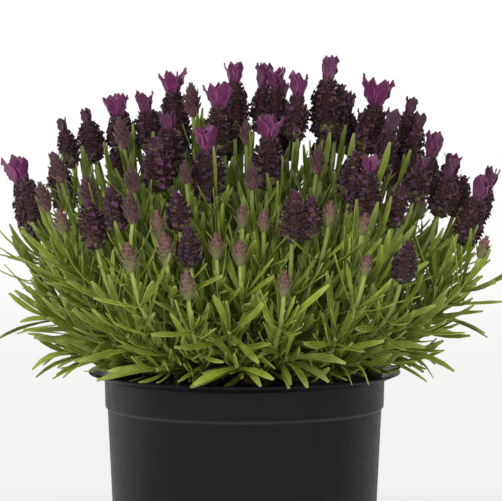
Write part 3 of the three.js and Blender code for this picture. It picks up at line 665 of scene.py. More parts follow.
def dome_blooms(listed):
    """Blooms at the free spots of a spiral, beside the listed ones and behind them."""
    found = []
    nodes = 0
    for i in range(DOME_SPOTS):
        draw = seeded(SPOT_SEED + i)
        reach = DOME_RADIUS * math.sqrt((i + 0.5) / DOME_SPOTS)
        x = reach * math.cos(i * GOLDEN_TURN)
        y = reach * math.sin(i * GOLDEN_TURN) * DOME_DEPTH
        taken = any(math.hypot(b.foot[0] - x, b.foot[1] - y) < SPOT_ROOM for b in listed)
        if y < DOME_FRONT or taken:
            continue
        fall = DOME_FALL * (reach / DOME_RADIUS) ** DOME_FALL_POWER
        z = DOME_TOP - fall + pick(DOME_UNEVEN, draw)
        if reach > DOME_BUD_FROM and draw() < DOME_BUD_SHARE:
            size = [pick(ends, draw) for ends in DOME_BUD]
            found.append(bloom((x, y, z, *size), True, DOME_SEED + i))
        elif nodes < DOME_NODES:
            nodes += 1
            size = [pick(ends, draw) for ends in DOME_HEAD]
            found.append(bloom((x, y, z, *size), False, DOME_SEED + i))
            if draw() < PARTNER_SHARE:
                found.append(partner(x, y, z, draw, PARTNER_SEED + i))
    return found


# Room: rows of numbers stand for rods, each its two ends, its radius and its owner
def rod_row(start, end, radius, owner):
    return np.array((*start, *end, radius, owner))


def is_clear(row, rows):
    """Whether a rod keeps clear of all the given ones."""
    u = row[3:6] - row[:3]
    v = rows[:, 3:6] - rows[:, :3]
    w = row[:3] - rows[:, :3]
    uu = u @ u
    uv = v @ u
    vv = (v * v).sum(1)
    uw = w @ u
    vw = (v * w).sum(1)
    skew = uu * vv - uv * uv
    apart = skew > NEARLY_PARALLEL
    s = np.where(apart, np.clip((uv * vw - vv * uw) / np.where(apart, skew, 1), 0, 1), 0)
    t = np.clip((uv * s + vw) / vv, 0, 1)
    s = np.clip((uv * t - uw) / uu, 0, 1)
    gaps = np.linalg.norm(w + s[:, None] * u - t[:, None] * v, axis=1)
    return bool((gaps > row[ROD_RADIUS] + rows[:, ROD_RADIUS] + AIR).all())


def is_outside_pot(start, end):
    """Whether a rod stays above the soil and the lip, or well outside the pot."""
    for i in range(POT_CHECKS + 1):
        x, y, z = start + (end - start) * (i / POT_CHECKS)
        reach = math.hypot(x, y)
        lowest = LIP_TOP if reach > BAND_RADIUS - LIP_INSET else SOIL_MIDDLE
        if reach < LIP_RADIUS + POT_ROOM and z < lowest + POT_ROOM:
            return False
    return True


# Shoots: a stem under each bloom, and leafy shoots that end in a leaf
def bloom_shoot(head):
    low_bud = head.is_bud and head.foot[2] < LOW_BUD
    front = FRONT_WHORLS if head.foot[1] < FRONT_FROM else ()
    return SimpleNamespace(
        kind="bud" if head.is_bud else "head", tip=around(head, 0 if head.is_bud else -CLEARANCE),
        axis=head.axis, droop=0, vigour=BLOOM_VIGOUR, whorls=BUD_WHORLS if low_bud else front,
        bloom=head)


def leafy_shoot(tier, draw, i):
    count, reach, height, rise, turn, droop, whorls = tier
    angle = math.radians(turn + 360 * (i + pick(LEAFY_TURN, draw)) / count)
    rise = math.radians(rise + pick(LEAFY_RISE, draw))
    reach += pick(LEAFY_REACH, draw)
    x, y = math.cos(angle), math.sin(angle)
    tip = np.array((reach * x, DOME_DEPTH * reach * y, height + pick(LEAFY_HEIGHT, draw)))
    axis = np.array((x * math.cos(rise), y * math.cos(rise), math.sin(rise)))
    return SimpleNamespace(kind="leafy", tip=tip, axis=axis, droop=droop, vigour=LEAFY_VIGOUR,
                           whorls=whorls, bloom=None)


def crown_places():
    places = [np.array((0.0, 0.0, CROWN_HEIGHT))]
    for i in range(CROWN_RING):
        angle = 2 * math.pi * (i + 0.5) / CROWN_RING
        x, y = CROWN_RING_RADIUS * math.cos(angle), CROWN_RING_RADIUS * math.sin(angle)
        places.append(np.array((x, y, CROWN_HEIGHT)))
    return places


def root_shoot(shoot, crowns, number):
    """Seats a shoot in its nearest crown and gives it its seed and its turn."""
    reach = [math.dist(shoot.tip[:2] * CROWN_REACH, place[:2]) for place in crowns]
    shoot.crown = reach.index(min(reach))
    shoot.start = crowns[shoot.crown]
    shoot.seed = STEM_SEED + number
    shoot.number = number
    shoot.ends = None
    shoot.sideways = unit(np.array((shoot.tip[1], -shoot.tip[0], 0.0)))
    shoot.twist = math.pi / 4 + number % 3 * TWIST_STEP
    fork = shoot.tip - shoot.start
    shoot.fork = unit(fork * (1, 1, FORK_FLATNESS))


def fan_out(shoots):
    """Turns the forks of a crown's shoots away from each other."""
    for _ in range(FORK_ROUNDS):
        for i, one in enumerate(shoots):
            for other in shoots[i + 1:]:
                gap = one.fork - other.fork
                move = (FORK_ROOM - np.linalg.norm(gap)) / 2
                if move > 0:
                    gap = unit(gap)
                    one.fork = risen(one.fork + gap * move)
                    other.fork = risen(other.fork - gap * move)


def risen(fork):
    return unit(np.array((fork[0], fork[1], max(fork[2], FORK_LOWEST))))


def curve_at(ends, share):
    """Places on a stem's curve, for one share of its run or for a column of them."""
    rest = 1 - share
    a, b, c, d = ends
    return (rest**3 * a + 3 * rest * rest * share * b + 3 * rest * share * share * c + share**3 * d)


def curve_length(ends):
    places = curve_at(ends, np.linspace(0, 1, CURVE_DIVISIONS + 1)[:, None])
    return float(np.linalg.norm(np.diff(places, axis=0), axis=1).sum())


def heading(ends, share):
    a, b, c, d = ends
    rest = 1 - share
    return unit((b - a) * rest * rest + (c - b) * 2 * rest * share + (d - c) * share * share)


def draw_bend(sway, draw):
    return np.array([pick((-sway, sway), draw) for _ in range(3)])


def stem_curve(shoot, low_bend, high_bend):
    pull = STEM_PULL * np.linalg.norm(shoot.start - shoot.tip)
    first = shoot.start + shoot.fork * pull + low_bend
    second = shoot.tip - shoot.axis * pull + high_bend
    second[2] = max(second[2], CROWN_HEIGHT + STEM_LOWEST)
    return shoot.start, first, second, shoot.tip


def stem_levels(length, whorls):
    """The shares of a stem's run where its plain solid has corners, each with its whorl's."""
    levels = [(0.0, None)]

    def climb_to(share):
        last = levels[-1][0]
        steps = max(1, int((share - last) * length / STEM_STEP + 0.5))
        for i in range(1, steps + 1):
            levels.append((mix(last, share, i / steps), None))

    half = LEAF_FOOT / length / 2
    for drop in whorls:
        whorl = 1 - drop / length
        if whorl >= LOWEST_WHORL:
            climb_to(whorl - half)
            levels.append((whorl + half, whorl))
    climb_to(1)
    return levels


def end_leaf(shoot):
    middle = shoot.tip + shoot.axis * LEAF_WIDEST * END_LEAF
    tip = middle + shoot.axis * (1 - LEAF_WIDEST) * END_LEAF
    return middle, tip + UP * END_LEAF_LIFT


def stem_rows(ends, levels, shoot):
    places = [curve_at(ends, share) for share, _ in levels]
    share = min(FORK_REACH / np.linalg.norm(places[0] - places[1]), LONGEST_FORK)
    places[0] = places[0] + (places[1] - places[0]) * share
    rows = [(a, b, STEM_FOOT_RADIUS) for a, b in zip(places, places[1:])]
    if shoot.kind == "leafy":
        middle, tip = end_leaf(shoot)
        room = LEAF_ROOM * END_LEAF_WIDTH
        rows += [(shoot.tip, middle, room), (middle, tip, room)]
    return [rod_row(*row, shoot.number) for row in rows]


def route_stem(shoot, rows):
    """Bends a stem until it stands clear, and returns its rods, or None."""
    draw = seeded(shoot.seed)
    owners = rows[:, ROD_OWNER]
    others = rows[(owners != shoot.number) & (owners != -1 - shoot.crown)]
    for attempt in range(BLOOM_TRIES if shoot.bloom else STEM_TRIES):
        sway = SWAY_START + attempt**SWAY_POWER if attempt else 0
        low_bend = draw_bend(sway, draw)
        ends = stem_curve(shoot, low_bend, draw_bend(HIGH_SWAY * sway, draw))
        levels = stem_levels(curve_length(ends), shoot.whorls)
        course = stem_rows(ends, levels, shoot)
        if all(is_outside_pot(row[:3], row[3:6]) and is_clear(row, others) for row in course):
            shoot.ends, shoot.levels = ends, levels
            return course
    return None


def stem_frame(shoot, share):
    along = heading(shoot.ends, share)
    side = unit(shoot.sideways - along * (shoot.sideways @ along))
    return curve_at(shoot.ends, share), along, np.cross(side, along), side


def stem_corner(shoot, frame_here, share, k):
    centre, _, front, side = frame_here
    angle = shoot.twist + k * math.pi / 2
    radius = mix(STEM_FOOT_RADIUS, STEM_TIP_RADIUS, share)
    return centre + (front * math.cos(angle) + side * math.sin(angle)) * radius


def draw_leaf(shoot, share, k, draw, lifts=LEAF_LIFT, curls=LEAF_CURL):
    here = stem_frame(shoot, share)
    start, end = stem_corner(shoot, here, share, k), stem_corner(shoot, here, share, (k + 1) % 4)
    foot = (start + end) / 2
    out = unit(foot - here[0])
    across = unit(end - start)
    length = pick(LEAF_LENGTH, draw) * shoot.vigour
    lift = pick(lifts, draw)
    first = here[1] * math.cos(lift) + out * math.sin(lift)
    first = unit(first + across * pick(LEAF_YAW, draw))
    second = unit(first + UP * (pick(curls, draw) - shoot.droop))
    middle = foot + first * LEAF_WIDEST * length
    tip = middle + second * (1 - LEAF_WIDEST) * length
    return SimpleNamespace(foot=foot, middle=middle, tip=tip, across=across,
                           width=pick(LEAF_WIDTH, draw))


def leaf_rows(leaf, shoot, rows):
    """The rods of a leaf, or None where it hangs too low or touches something."""
    lower = rod_row(leaf.foot, leaf.middle, LEAF_ROOM * leaf.width, shoot.number)
    upper = rod_row(leaf.middle, leaf.tip, LEAF_ROOM * leaf.width, shoot.number)
    if leaf.tip[2] < LEAF_LOWEST:
        return None
    if not is_outside_pot(leaf.foot, leaf.middle) or not is_outside_pot(leaf.middle, leaf.tip):
        return None
    if is_clear(upper, rows) and is_clear(lower, rows[rows[:, ROD_OWNER] != shoot.number]):
        return [lower, upper]
    return None


def grow_bush():
    """All the blooms and the shoots that found room, with their leaves, in the source's order."""
    listed = [bloom(row, False, FRONT_HEAD_SEED + i) for i, row in enumerate(FRONT_HEADS)]
    listed += [bloom(row, True, FRONT_BUD_SEED + i) for i, row in enumerate(FRONT_BUDS)]
    blooms = settle(listed + dome_blooms(listed))
    shoots = [bloom_shoot(head) for head in blooms]
    for row, tier in enumerate(LEAFY_TIERS):
        for i in range(tier[0]):
            shoots.append(leafy_shoot(tier, seeded(TIER_SEED + TIER_SEED_STEP * row + i), i))
    crowns = crown_places()
    for number, shoot in enumerate(shoots):
        root_shoot(shoot, crowns, number)
    for i in range(len(crowns)):
        fan_out([shoot for shoot in shoots if shoot.crown == i])
    bloom_rows = [rod_row(*rod, shoot.number) for shoot in shoots if shoot.bloom
                  for rod in bloom_rods(shoot.bloom)]
    crown_rows = [rod_row((x, y, SOIL_MIDDLE), (x, y, top), CROWN_RADIUS, -1 - i)
                  for i, (x, y, top) in enumerate(crowns)]
    rows = np.array(crown_rows + bloom_rows)
    standing = []
    for shoot in shoots:
        course = route_stem(shoot, rows)
        if course:
            standing.append(shoot)
            rows = np.vstack((rows, course))
    for shoot in standing:
        rows = grow_leaves(shoot, rows)
    bloom_rows = np.array(bloom_rows)
    for shoot in shoots:
        if shoot.bloom and shoot.ends is None and route_stem(shoot, bloom_rows):
            shoot.leaves = []
            standing.append(shoot)
    return blooms, standing, bloom_rows


def grow_leaves(shoot, rows):
    """The leaves of a shoot's whorls that find room, added to the rods that are taken."""
    draw = seeded(shoot.seed + LEAF_SEED)
    shoot.leaves = []
    for whorl in [whorl for _, whorl in shoot.levels if whorl]:
        for k in range(4):
            for _ in range(LEAF_TRIES):
                leaf = draw_leaf(shoot, whorl, k, draw)
                taken = leaf_rows(leaf, shoot, rows)
                if taken:
                    shoot.leaves.append(leaf)
                    rows = np.vstack((rows, taken))
                    break
    return rows


# Blender's tools, as a hand would use them
def select(active, *others):
    """Selects these objects and nothing else, and makes the first one active."""
    bpy.ops.object.select_all(action="DESELECT")
    for obj in (active, *others):
        obj.select_set(True)
    bpy.context.view_layer.objects.active = active


def choose(mesh, test):
    """In edit mode, selects the vertices that pass a test and nothing else."""
    bm = bmesh.from_edit_mesh(mesh)
    for part in (*bm.verts, *bm.edges, *bm.faces):
        part.select = False
    for vertex in bm.verts:
        vertex.select = bool(test(vertex.co))
    bm.select_flush(True)
    bmesh.update_edit_mesh(mesh)


def shift(*move):
    bpy.ops.transform.translate(value=move)


def extrude(*move):
    bpy.ops.mesh.extrude_region_move(TRANSFORM_OT_translate={"value": move})


def widen(share, height_share=1):
    bpy.ops.transform.resize(value=(share, share, height_share))


def finish_shape():
    """Leaves edit mode with all the faces turned outwards."""
    bpy.ops.mesh.select_all(action="SELECT")
    bpy.ops.mesh.normals_make_consistent(inside=False)
    bpy.ops.object.mode_set(mode="OBJECT")


def apply_modifier(obj, kind, **settings):
    select(obj)
    modifier = obj.modifiers.new(kind.title(), kind)
    for key, value in settings.items():
        setattr(modifier, key, value)
    bpy.ops.object.modifier_apply(modifier=modifier.name)


def finish_piece(obj, name, node, materials):
    """Names a finished piece, gives it its materials, and puts it in the place of its node."""
    obj.name = obj.data.name = name
    for material in materials:
        obj.data.materials.append(material)
    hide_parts(node)
    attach(obj, "root")


# Patterns: each small piece that repeats is modelled once, and its copies are bent into place
def taken(obj):
    """The points and faces of a finished pattern, which leaves the scene."""
    points = np.array([vertex.co for vertex in obj.data.vertices])
    faces = [list(polygon.vertices) for polygon in obj.data.polygons]
    bpy.data.objects.remove(obj)
    return points, faces, np.zeros((len(points), 2))


def blade_pattern(columns, rows, outline, cup, wave, thickness):
    """A closed thin blade along Y that is two units wide where its outline is one."""
    bpy.ops.mesh.primitive_grid_add(x_subdivisions=columns, y_subdivisions=rows, size=2)
    blade = bpy.context.object
    bpy.ops.object.mode_set(mode="EDIT")
    for row in range(rows + 1):
        along = 2 * row / rows - 1
        choose(blade.data, lambda co: abs(co.y - along) < NEAR)
        bpy.ops.transform.resize(value=(float(np.interp(row / rows, *outline)), 1, 1))
    for column in range(columns + 1):
        across = 2 * column / columns - 1
        for row in range(rows + 1):
            width = across * float(np.interp(row / rows, *outline))
            along = 2 * row / rows - 1
            choose(blade.data, lambda co: abs(co.x - width) + abs(co.y - along) < NEAR)
            ripple = math.sin(WAVE_PACE * along + WAVE_SHIFT * column)
            shift(0, 0, cup * width**2 + wave * abs(across) * ripple)
    bpy.ops.object.mode_set(mode="OBJECT")
    apply_modifier(blade, "SOLIDIFY", thickness=thickness, offset=0)
    points, faces, _ = taken(blade)
    along = (points[:, 1] + 1) / 2
    across = points[:, 0] / np.interp(np.clip(along, 0, 1), *outline)
    return points, faces, np.column_stack((np.clip(across, -1, 1), along))


def is_lobe(co):
    return round(math.atan2(co.y, co.x) / (math.pi / LOBES)) % 2 == 1


def floret_pattern():
    """A small open flower of five lobes on a short tube, facing up Z."""
    bpy.ops.mesh.primitive_circle_add(vertices=2 * LOBES, radius=1, fill_type="NGON")
    floret = bpy.context.object
    bpy.ops.object.mode_set(mode="EDIT")
    choose(floret.data, is_lobe)
    shift(0, 0, -LOBE_DIP)
    choose(floret.data, lambda co: not is_lobe(co))
    widen(NOTCH)
    bpy.ops.mesh.select_all(action="SELECT")
    for drop, share in TUBE:
        extrude(0, 0, -drop)
        widen(share)
    choose(floret.data, lambda co: co.z > MOUTH_FROM)
    bpy.ops.mesh.edge_face_add()
    bpy.ops.mesh.poke()
    choose(floret.data, lambda co: co.z > MOUTH_FROM and math.hypot(co.x, co.y) < THROAT_RADIUS)
    shift(0, 0, -THROAT_DEPTH)
    finish_shape()
    points, faces, _ = taken(floret)
    reach = np.linalg.norm(points[:, :2], axis=1)
    return points, faces, np.column_stack((reach, np.clip(-points[:, 2], 0, 1)))


def crumb_pattern():
    bpy.ops.mesh.primitive_ico_sphere_add(subdivisions=1, radius=1)
    return taken(bpy.context.object)


def rod_pattern(rings):
    """A square rod up Z with soft corners, one unit long and in even rings."""
    bpy.ops.mesh.primitive_plane_add(size=ROD_SIDE)
    rod = bpy.context.object
    bpy.ops.object.mode_set(mode="EDIT")
    bpy.ops.mesh.bevel(offset=ROD_CORNER, affect="VERTICES")
    for _ in range(rings):
        extrude(0, 0, 1 / rings)
    finish_shape()
    points, faces, _ = taken(rod)
    angles = np.arctan2(points[:, 1], points[:, 0])
    return points, faces, np.column_stack((-np.cos(4 * angles), points[:, 2]))


def base_pattern():
    """A gnarled woody knuckle above the soil, with its root below it, in millimetres."""
    radius, height = BASE_PROFILE[0]
    bpy.ops.mesh.primitive_circle_add(vertices=BASE_SIDES, radius=radius, fill_type="NGON",
                                      location=(0, 0, height))
    bpy.ops.object.transform_apply()
    base = bpy.context.object
    bpy.ops.object.mode_set(mode="EDIT")
    for (radius, height), (wider, higher) in zip(BASE_PROFILE, BASE_PROFILE[1:]):
        extrude(0, 0, higher - height)
        widen(wider / radius)
    choose(base.data, lambda co: co.z > BASE_KNOTS_FROM)
    bpy.ops.transform.vertex_random(offset=BASE_KNOTS, seed=BASE_KNOTS_SEED)
    finish_shape()
    return taken(base)


def hair_pattern():
    """A three-sided spike up Z, one unit long and one wide at its foot."""
    bpy.ops.mesh.primitive_cone_add(vertices=3, radius1=0.5, depth=1, location=(0, 0, 0.5))
    bpy.ops.object.transform_apply()
    return taken(bpy.context.object)


def rows_to_unit(rows):
    return rows / np.linalg.norm(rows, axis=1)[:, None]


class Growth:
    """The copies that make up one piece, gathered until they become its mesh."""

    def __init__(self):
        self.points = []
        self.faces = []
        self.marks = []
        self.kinds = []
        self.count = 0

    def add(self, points, faces, marks, tint, kind):
        self.points.append(points)
        self.faces += [[index + self.count for index in face] for face in faces]
        self.marks.append(np.column_stack((marks, np.full(len(points), tint))))
        self.kinds += [kind] * len(faces)
        self.count += len(points)

    def blade(self, pattern, foot, middle, tip, across, width, tint, kind, at=LEAF_WIDEST):
        """Bends a copy of a blade so that its midrib runs through three places."""
        points, faces, marks = PATTERNS[pattern]
        share = marks[:, 1:]
        rest = 1 - share
        control = (middle - foot * (1 - at) ** 2 - tip * at**2) / (2 * at * (1 - at))
        spine = foot * rest * rest + control * 2 * rest * share + tip * share * share
        onward = rows_to_unit((control - foot) * rest + (tip - control) * share)
        side = rows_to_unit(across - onward * (onward @ across)[:, None])
        face = np.cross(onward, side)
        bent = spine + (side * points[:, :1] + face * points[:, 2:]) * width / 2
        self.add(bent, faces, marks, tint, kind)

    def build(self):
        mesh = bpy.data.meshes.new("growth")
        mesh.from_pydata(np.concatenate(self.points) * MM, [], self.faces)
        marks = mesh.attributes.new("growth", "FLOAT_VECTOR", "POINT")
        marks.data.foreach_set("vector", np.concatenate(self.marks).astype(np.float32).ravel())
        mesh.polygons.foreach_set("material_index", self.kinds)
        obj = bpy.data.objects.new("growth", mesh)
        bpy.context.collection.objects.link(obj)
        select(obj)
        bpy.ops.object.shade_smooth_by_angle(angle=math.radians(GROWTH_SMOOTH))
        return obj


# Branches
def grow_stem(growth, shoot, tint):
    """Bends a copy of the rod along its shoot, with its corners where the leaves sit."""
    points, faces, marks = PATTERNS["stem"]
    bent = np.empty_like(points)
    turn = shoot.twist - math.pi / 4
    rings = marks[:, 1].round(4)
    for share in np.unique(rings):
        centre, _, front, side = stem_frame(shoot, share)
        here = rings == share
        x = front * math.cos(turn) + side * math.sin(turn)
        y = side * math.cos(turn) - front * math.sin(turn)
        radius = mix(STEM_FOOT_RADIUS, STEM_TIP_RADIUS, share)
        bent[here] = centre + (points[here, :1] * x + points[here, 1:2] * y) * radius
    growth.add(bent, faces, marks, tint, STEM)


def shrunk(leaf, size):
    """A smaller and slimmer leaf in the place of a full one."""
    leaf.middle = mix(leaf.foot, leaf.middle, size)
    leaf.tip = mix(leaf.foot, leaf.tip, size)
    leaf.width *= mix(*FILL_SLIMNESS, size)
    return leaf


def fill_leaf(shoot, share, k, size, others, draw):
    """A leaf on one side of a stem, or None where no try of it stands clear."""
    for _ in range(FILL_TRIES):
        leaf = draw_leaf(shoot, share, k, draw, FILL_LIFT, FILL_CURL)
        leaf = shrunk(leaf, pick(size, draw))
        row = rod_row(leaf.foot, leaf.tip, LEAF_ROOM * leaf.width, shoot.number)
        is_low = leaf.tip[2] < FILL_LOWEST or not is_outside_pot(leaf.foot, leaf.tip)
        if not is_low and is_clear(row, others):
            return leaf
    return None


def fill_leaves(shoot, rows):
    """More leaves down a stem, and tufts of small ones in their corners, clear of the blooms."""
    draw = seeded(shoot.seed + FILL_SEED)
    length = curve_length(shoot.ends)
    others = rows[rows[:, ROD_OWNER] != shoot.number]
    leaves = []
    drop = FILL_FROM[shoot.kind] + FILL_START * draw()
    while drop < FILL_UP_TO * length:
        for k in range(4):
            sizes = [FILL_SIZE] + [TUFT_SIZE] * (draw() < TUFT_CHANCE)
            leaves += [fill_leaf(shoot, 1 - drop / length, k, size, others, draw) for size in sizes]
        drop += FILL_STEP
    return [leaf for leaf in leaves if leaf]


def grow_leaf(growth, pattern, foot, middle, tip, across, width, draw):
    growth.blade(pattern, foot, middle, tip, across, width * SLIMNESS, draw(), LEAF)


def grow_shoot(growth, shoot, rows):
    draw = seeded(shoot.seed)
    grow_stem(growth, shoot, draw())
    for pattern, leaves in (("leaf", shoot.leaves), ("small leaf", fill_leaves(shoot, rows))):
        for leaf in leaves:
            grow_leaf(growth, pattern, leaf.foot, leaf.middle, leaf.tip, leaf.across, leaf.width, draw)
    if shoot.kind == "leafy":
        middle, tip = end_leaf(shoot)
        here = stem_frame(shoot, 1)
        across = unit(stem_corner(shoot, here, 1, 1) - stem_corner(shoot, here, 1, 0))
        grow_leaf(growth, "leaf", shoot.tip, middle, tip, across, END_LEAF_WIDTH, draw)
    elif shoot.kind == "bud":
        ripeness = 1 if shoot.bloom.foot[2] > LOW_BUD else 0
        grow_scales(growth, shoot.bloom, BUD_RANKS, BUD_COLUMNS, BUD, draw, 0, ripeness)


def grow_base(growth, place, turn):
    points, faces, marks = PATTERNS["base"]
    x, y, z = points.T
    turned = np.column_stack((x * math.cos(turn) - y * math.sin(turn),
                              x * math.sin(turn) + y * math.cos(turn), z))
    growth.add(turned + (place[0], place[1], 0), faces, marks, BASE_TINT, BARK)


# Flower heads and buds
def girth_at(head, ranks, share):
    heights, girths = zip(*ranks)
    return head.radius * float(np.interp(share, heights, girths))


def rank_count(head):
    return max(FEWEST_RANKS, round(head.length / RANK_STEP))


def grow_core(growth, head, ranks, kind, turn):
    """The core of a spike or bud, which its scales hide."""
    points, faces, marks = PATTERNS["core"]
    core = []
    for x, y, share in points:
        radius = CORE_SHARE * girth_at(head, ranks, share) * math.hypot(x, y)
        core.append(around(head, share * head.length, radius, turn + math.atan2(y, x)))
    growth.add(np.array(core), faces, marks, CORE_TINT, kind)


def grow_scales(growth, head, ranks, columns, kind, draw, turn=0.0, ripeness=0):
    """A core with scales round it in ranks, each rank turned half a step from the last."""
    grow_core(growth, head, ranks, kind, turn)
    rows = rank_count(head)
    for row in range(rows):
        height = head.length * SCALE_SPAN * (row + SCALE_START) / rows
        share = (height + SCALE_RISE) / head.length
        girth = girth_at(head, ranks, share)
        width = 2 * math.pi * girth / columns * SCALE_OVERLAP
        for k in range(columns):
            angle = turn + 2 * math.pi * (k + row % 2 / 2) / columns + pick(SCALE_TURN, draw)
            swell = 1 + EDGE_SWELL * math.cos(SPIKE_EDGES * (angle - turn))
            tint = ripeness + mix(share, draw(), CHANCE_IN_TINT)
            grow_scale(growth, head, height, girth * swell, angle, width, tint, kind)


def grow_scale(growth, head, height, radius, angle, width, tint, kind):
    foot, middle, tip = [around(head, height + rise, radius * share, angle)
                         for rise, share in SCALE_PLACES]
    across = np.cross(head.axis, outward(head, angle))
    growth.blade("scale", foot, middle, tip, across, width, tint, kind, at=SCALE_BELLY)


def grow_florets(growth, head, turn, draw):
    """Open flowers that stand out between the scales, most of them on every second column."""
    points, faces, marks = PATTERNS["floret"]
    rows = rank_count(head)
    for row in range(rows):
        for k in range(2 * SPIKE_EDGES):
            if draw() > FLORET_CHANCE[(k + row) % 2]:
                continue
            height = head.length * (row + pick(FLORET_RISE, draw)) / rows
            girth = girth_at(head, HEAD_RANKS, height / head.length)
            angle = turn + math.pi * (k + pick(FLORET_TURN, draw)) / SPIKE_EDGES
            facing = unit(outward(head, angle) + head.axis * pick(FLORET_LIFT, draw))
            side = unit(np.cross(facing, UP))
            axes = np.array((side, np.cross(facing, side), facing)) * pick(FLORET_RADIUS, draw)
            place = around(head, height, girth * pick(FLORET_REACH, draw), angle)
            growth.add(points @ axes + place, faces, marks, draw(), COROLLA)


def grow_wool(growth, head, draw):
    """Stiff pale hairs that stand out between the scales."""
    points, faces, marks = PATTERNS["hair"]
    for _ in range(HAIRS):
        share = draw()
        angle = 2 * math.pi * draw()
        out = outward(head, angle)
        along = unit(out + head.axis * pick(HAIR_LIFT, draw))
        side = unit(np.cross(along, out + UP * HAIR_TILT)) * HAIR_WIDTH
        axes = np.array((side, np.cross(along, side), along * pick(HAIR_LENGTH, draw)))
        depth = HAIR_DEPTH * girth_at(head, HEAD_RANKS, share)
        place = around(head, share * head.length, depth, angle)
        growth.add(points @ axes + place, faces, marks, draw(), WOOL)


def grow_tuft(growth, head, turn, sizes, draw):
    """The long bracts on top: some where the solid's are, and shorter ones between and inside."""
    reach = max(head.spread, BRACT_CLOSED * head.radius)
    for k, (length, sway) in enumerate(sizes):
        angle = turn + math.pi * (2 * k + 1) / OUTER_BRACTS
        grow_bract(growth, head, angle, length, reach, sway, BRACT_FULLNESS, BRACT_TWIST, draw)
    for k in range(INNER_BRACTS):
        angle = turn + 2 * math.pi * (k + pick(INNER_TURN, draw)) / INNER_BRACTS
        length = head.bracts * pick(INNER_LENGTH, draw)
        sway = pick(BRACT_SWAY, draw)
        grow_bract(growth, head, angle, length, reach * pick(INNER_REACH, draw), sway,
                   INNER_FULLNESS, INNER_TWIST, draw)


def grow_bract(growth, head, angle, length, reach, sway, fullness, twist, draw):
    height = head.length
    foot = around(head, height - BRACT_FOOT_DEPTH, head.radius * BRACT_FOOT_RADIUS, angle)
    middle = around(head, height + BRACT_BELLY * length, BRACT_BULGE * reach, angle)
    out = outward(head, angle)
    across = np.cross(head.axis, out)
    tip = around(head, height + length, reach, angle) + across * sway
    across = across + out * twist * pick((-1, 1), draw)
    width = fullness * clamp(BRACT_WIDTH * length, *BRACT_WIDTHS)
    openness = float(np.interp(head.spread, TINT_SPREAD, (0, 1)))
    tint = mix(pick(CLOSED_TINT, draw), pick(OPEN_TINT, draw), openness)
    growth.blade("bract", foot, middle, tip, across, width, tint, BRACT, at=BRACT_BELLY)


def grow_head(growth, head):
    draw = seeded(head.seed)
    turn = 2 * math.pi * draw()
    sizes = [(head.bracts, 0)] * OUTER_BRACTS
    if head.bracts >= OPEN_BRACTS:
        sizes = [(head.bracts * pick(BRACT_LENGTH, draw), pick(BRACT_SWAY, draw)) for _ in sizes]
    grow_tuft(growth, head, turn, sizes, draw)
    grow_scales(growth, head, HEAD_RANKS, SCALE_COLUMNS, CALYX, draw, turn)
    grow_florets(growth, head, turn, draw)
    grow_wool(growth, head, draw)


# Pot and soil
def spun(profile, steps):
    """A solid that is spun round Z from a profile of radii and heights in millimetres."""
    bpy.ops.mesh.primitive_plane_add(size=1)
    obj = bpy.context.object
    bpy.ops.object.mode_set(mode="EDIT")
    bpy.ops.mesh.merge(type="CENTER")
    places = [Vector((radius, 0, height)) * MM for radius, height in profile]
    shift(*places[0])
    for last, place in zip(places, places[1:]):
        extrude(*(place - last))
    bpy.ops.mesh.select_all(action="SELECT")
    bpy.ops.mesh.spin(steps=steps, angle=2 * math.pi, center=(0, 0, 0), axis=(0, 0, 1))
    bpy.ops.mesh.select_all(action="SELECT")
    bpy.ops.mesh.remove_doubles(threshold=MERGE_DISTANCE)
    finish_shape()
    return obj


def drill(obj, places, radius, low, high):
    """Cuts a plain round hole from low to high at each place."""
    cutters = []
    for x, y in places:
        bpy.ops.mesh.primitive_cylinder_add(
            vertices=HOLE_SIDES, radius=radius * MM, depth=(high - low) * MM,
            location=(x * MM, y * MM, (low + high) / 2 * MM))
        cutters.append(bpy.context.object)
    select(*cutters)
    bpy.ops.object.join()
    apply_modifier(obj, "BOOLEAN", object=cutters[0], operation="DIFFERENCE", solver="EXACT")
    bpy.data.objects.remove(cutters[0])


def inner_wall(height):
    return mix(BASE_RADIUS, WALL_RADIUS, height / STEP_HEIGHT) - WALL_THICKNESS


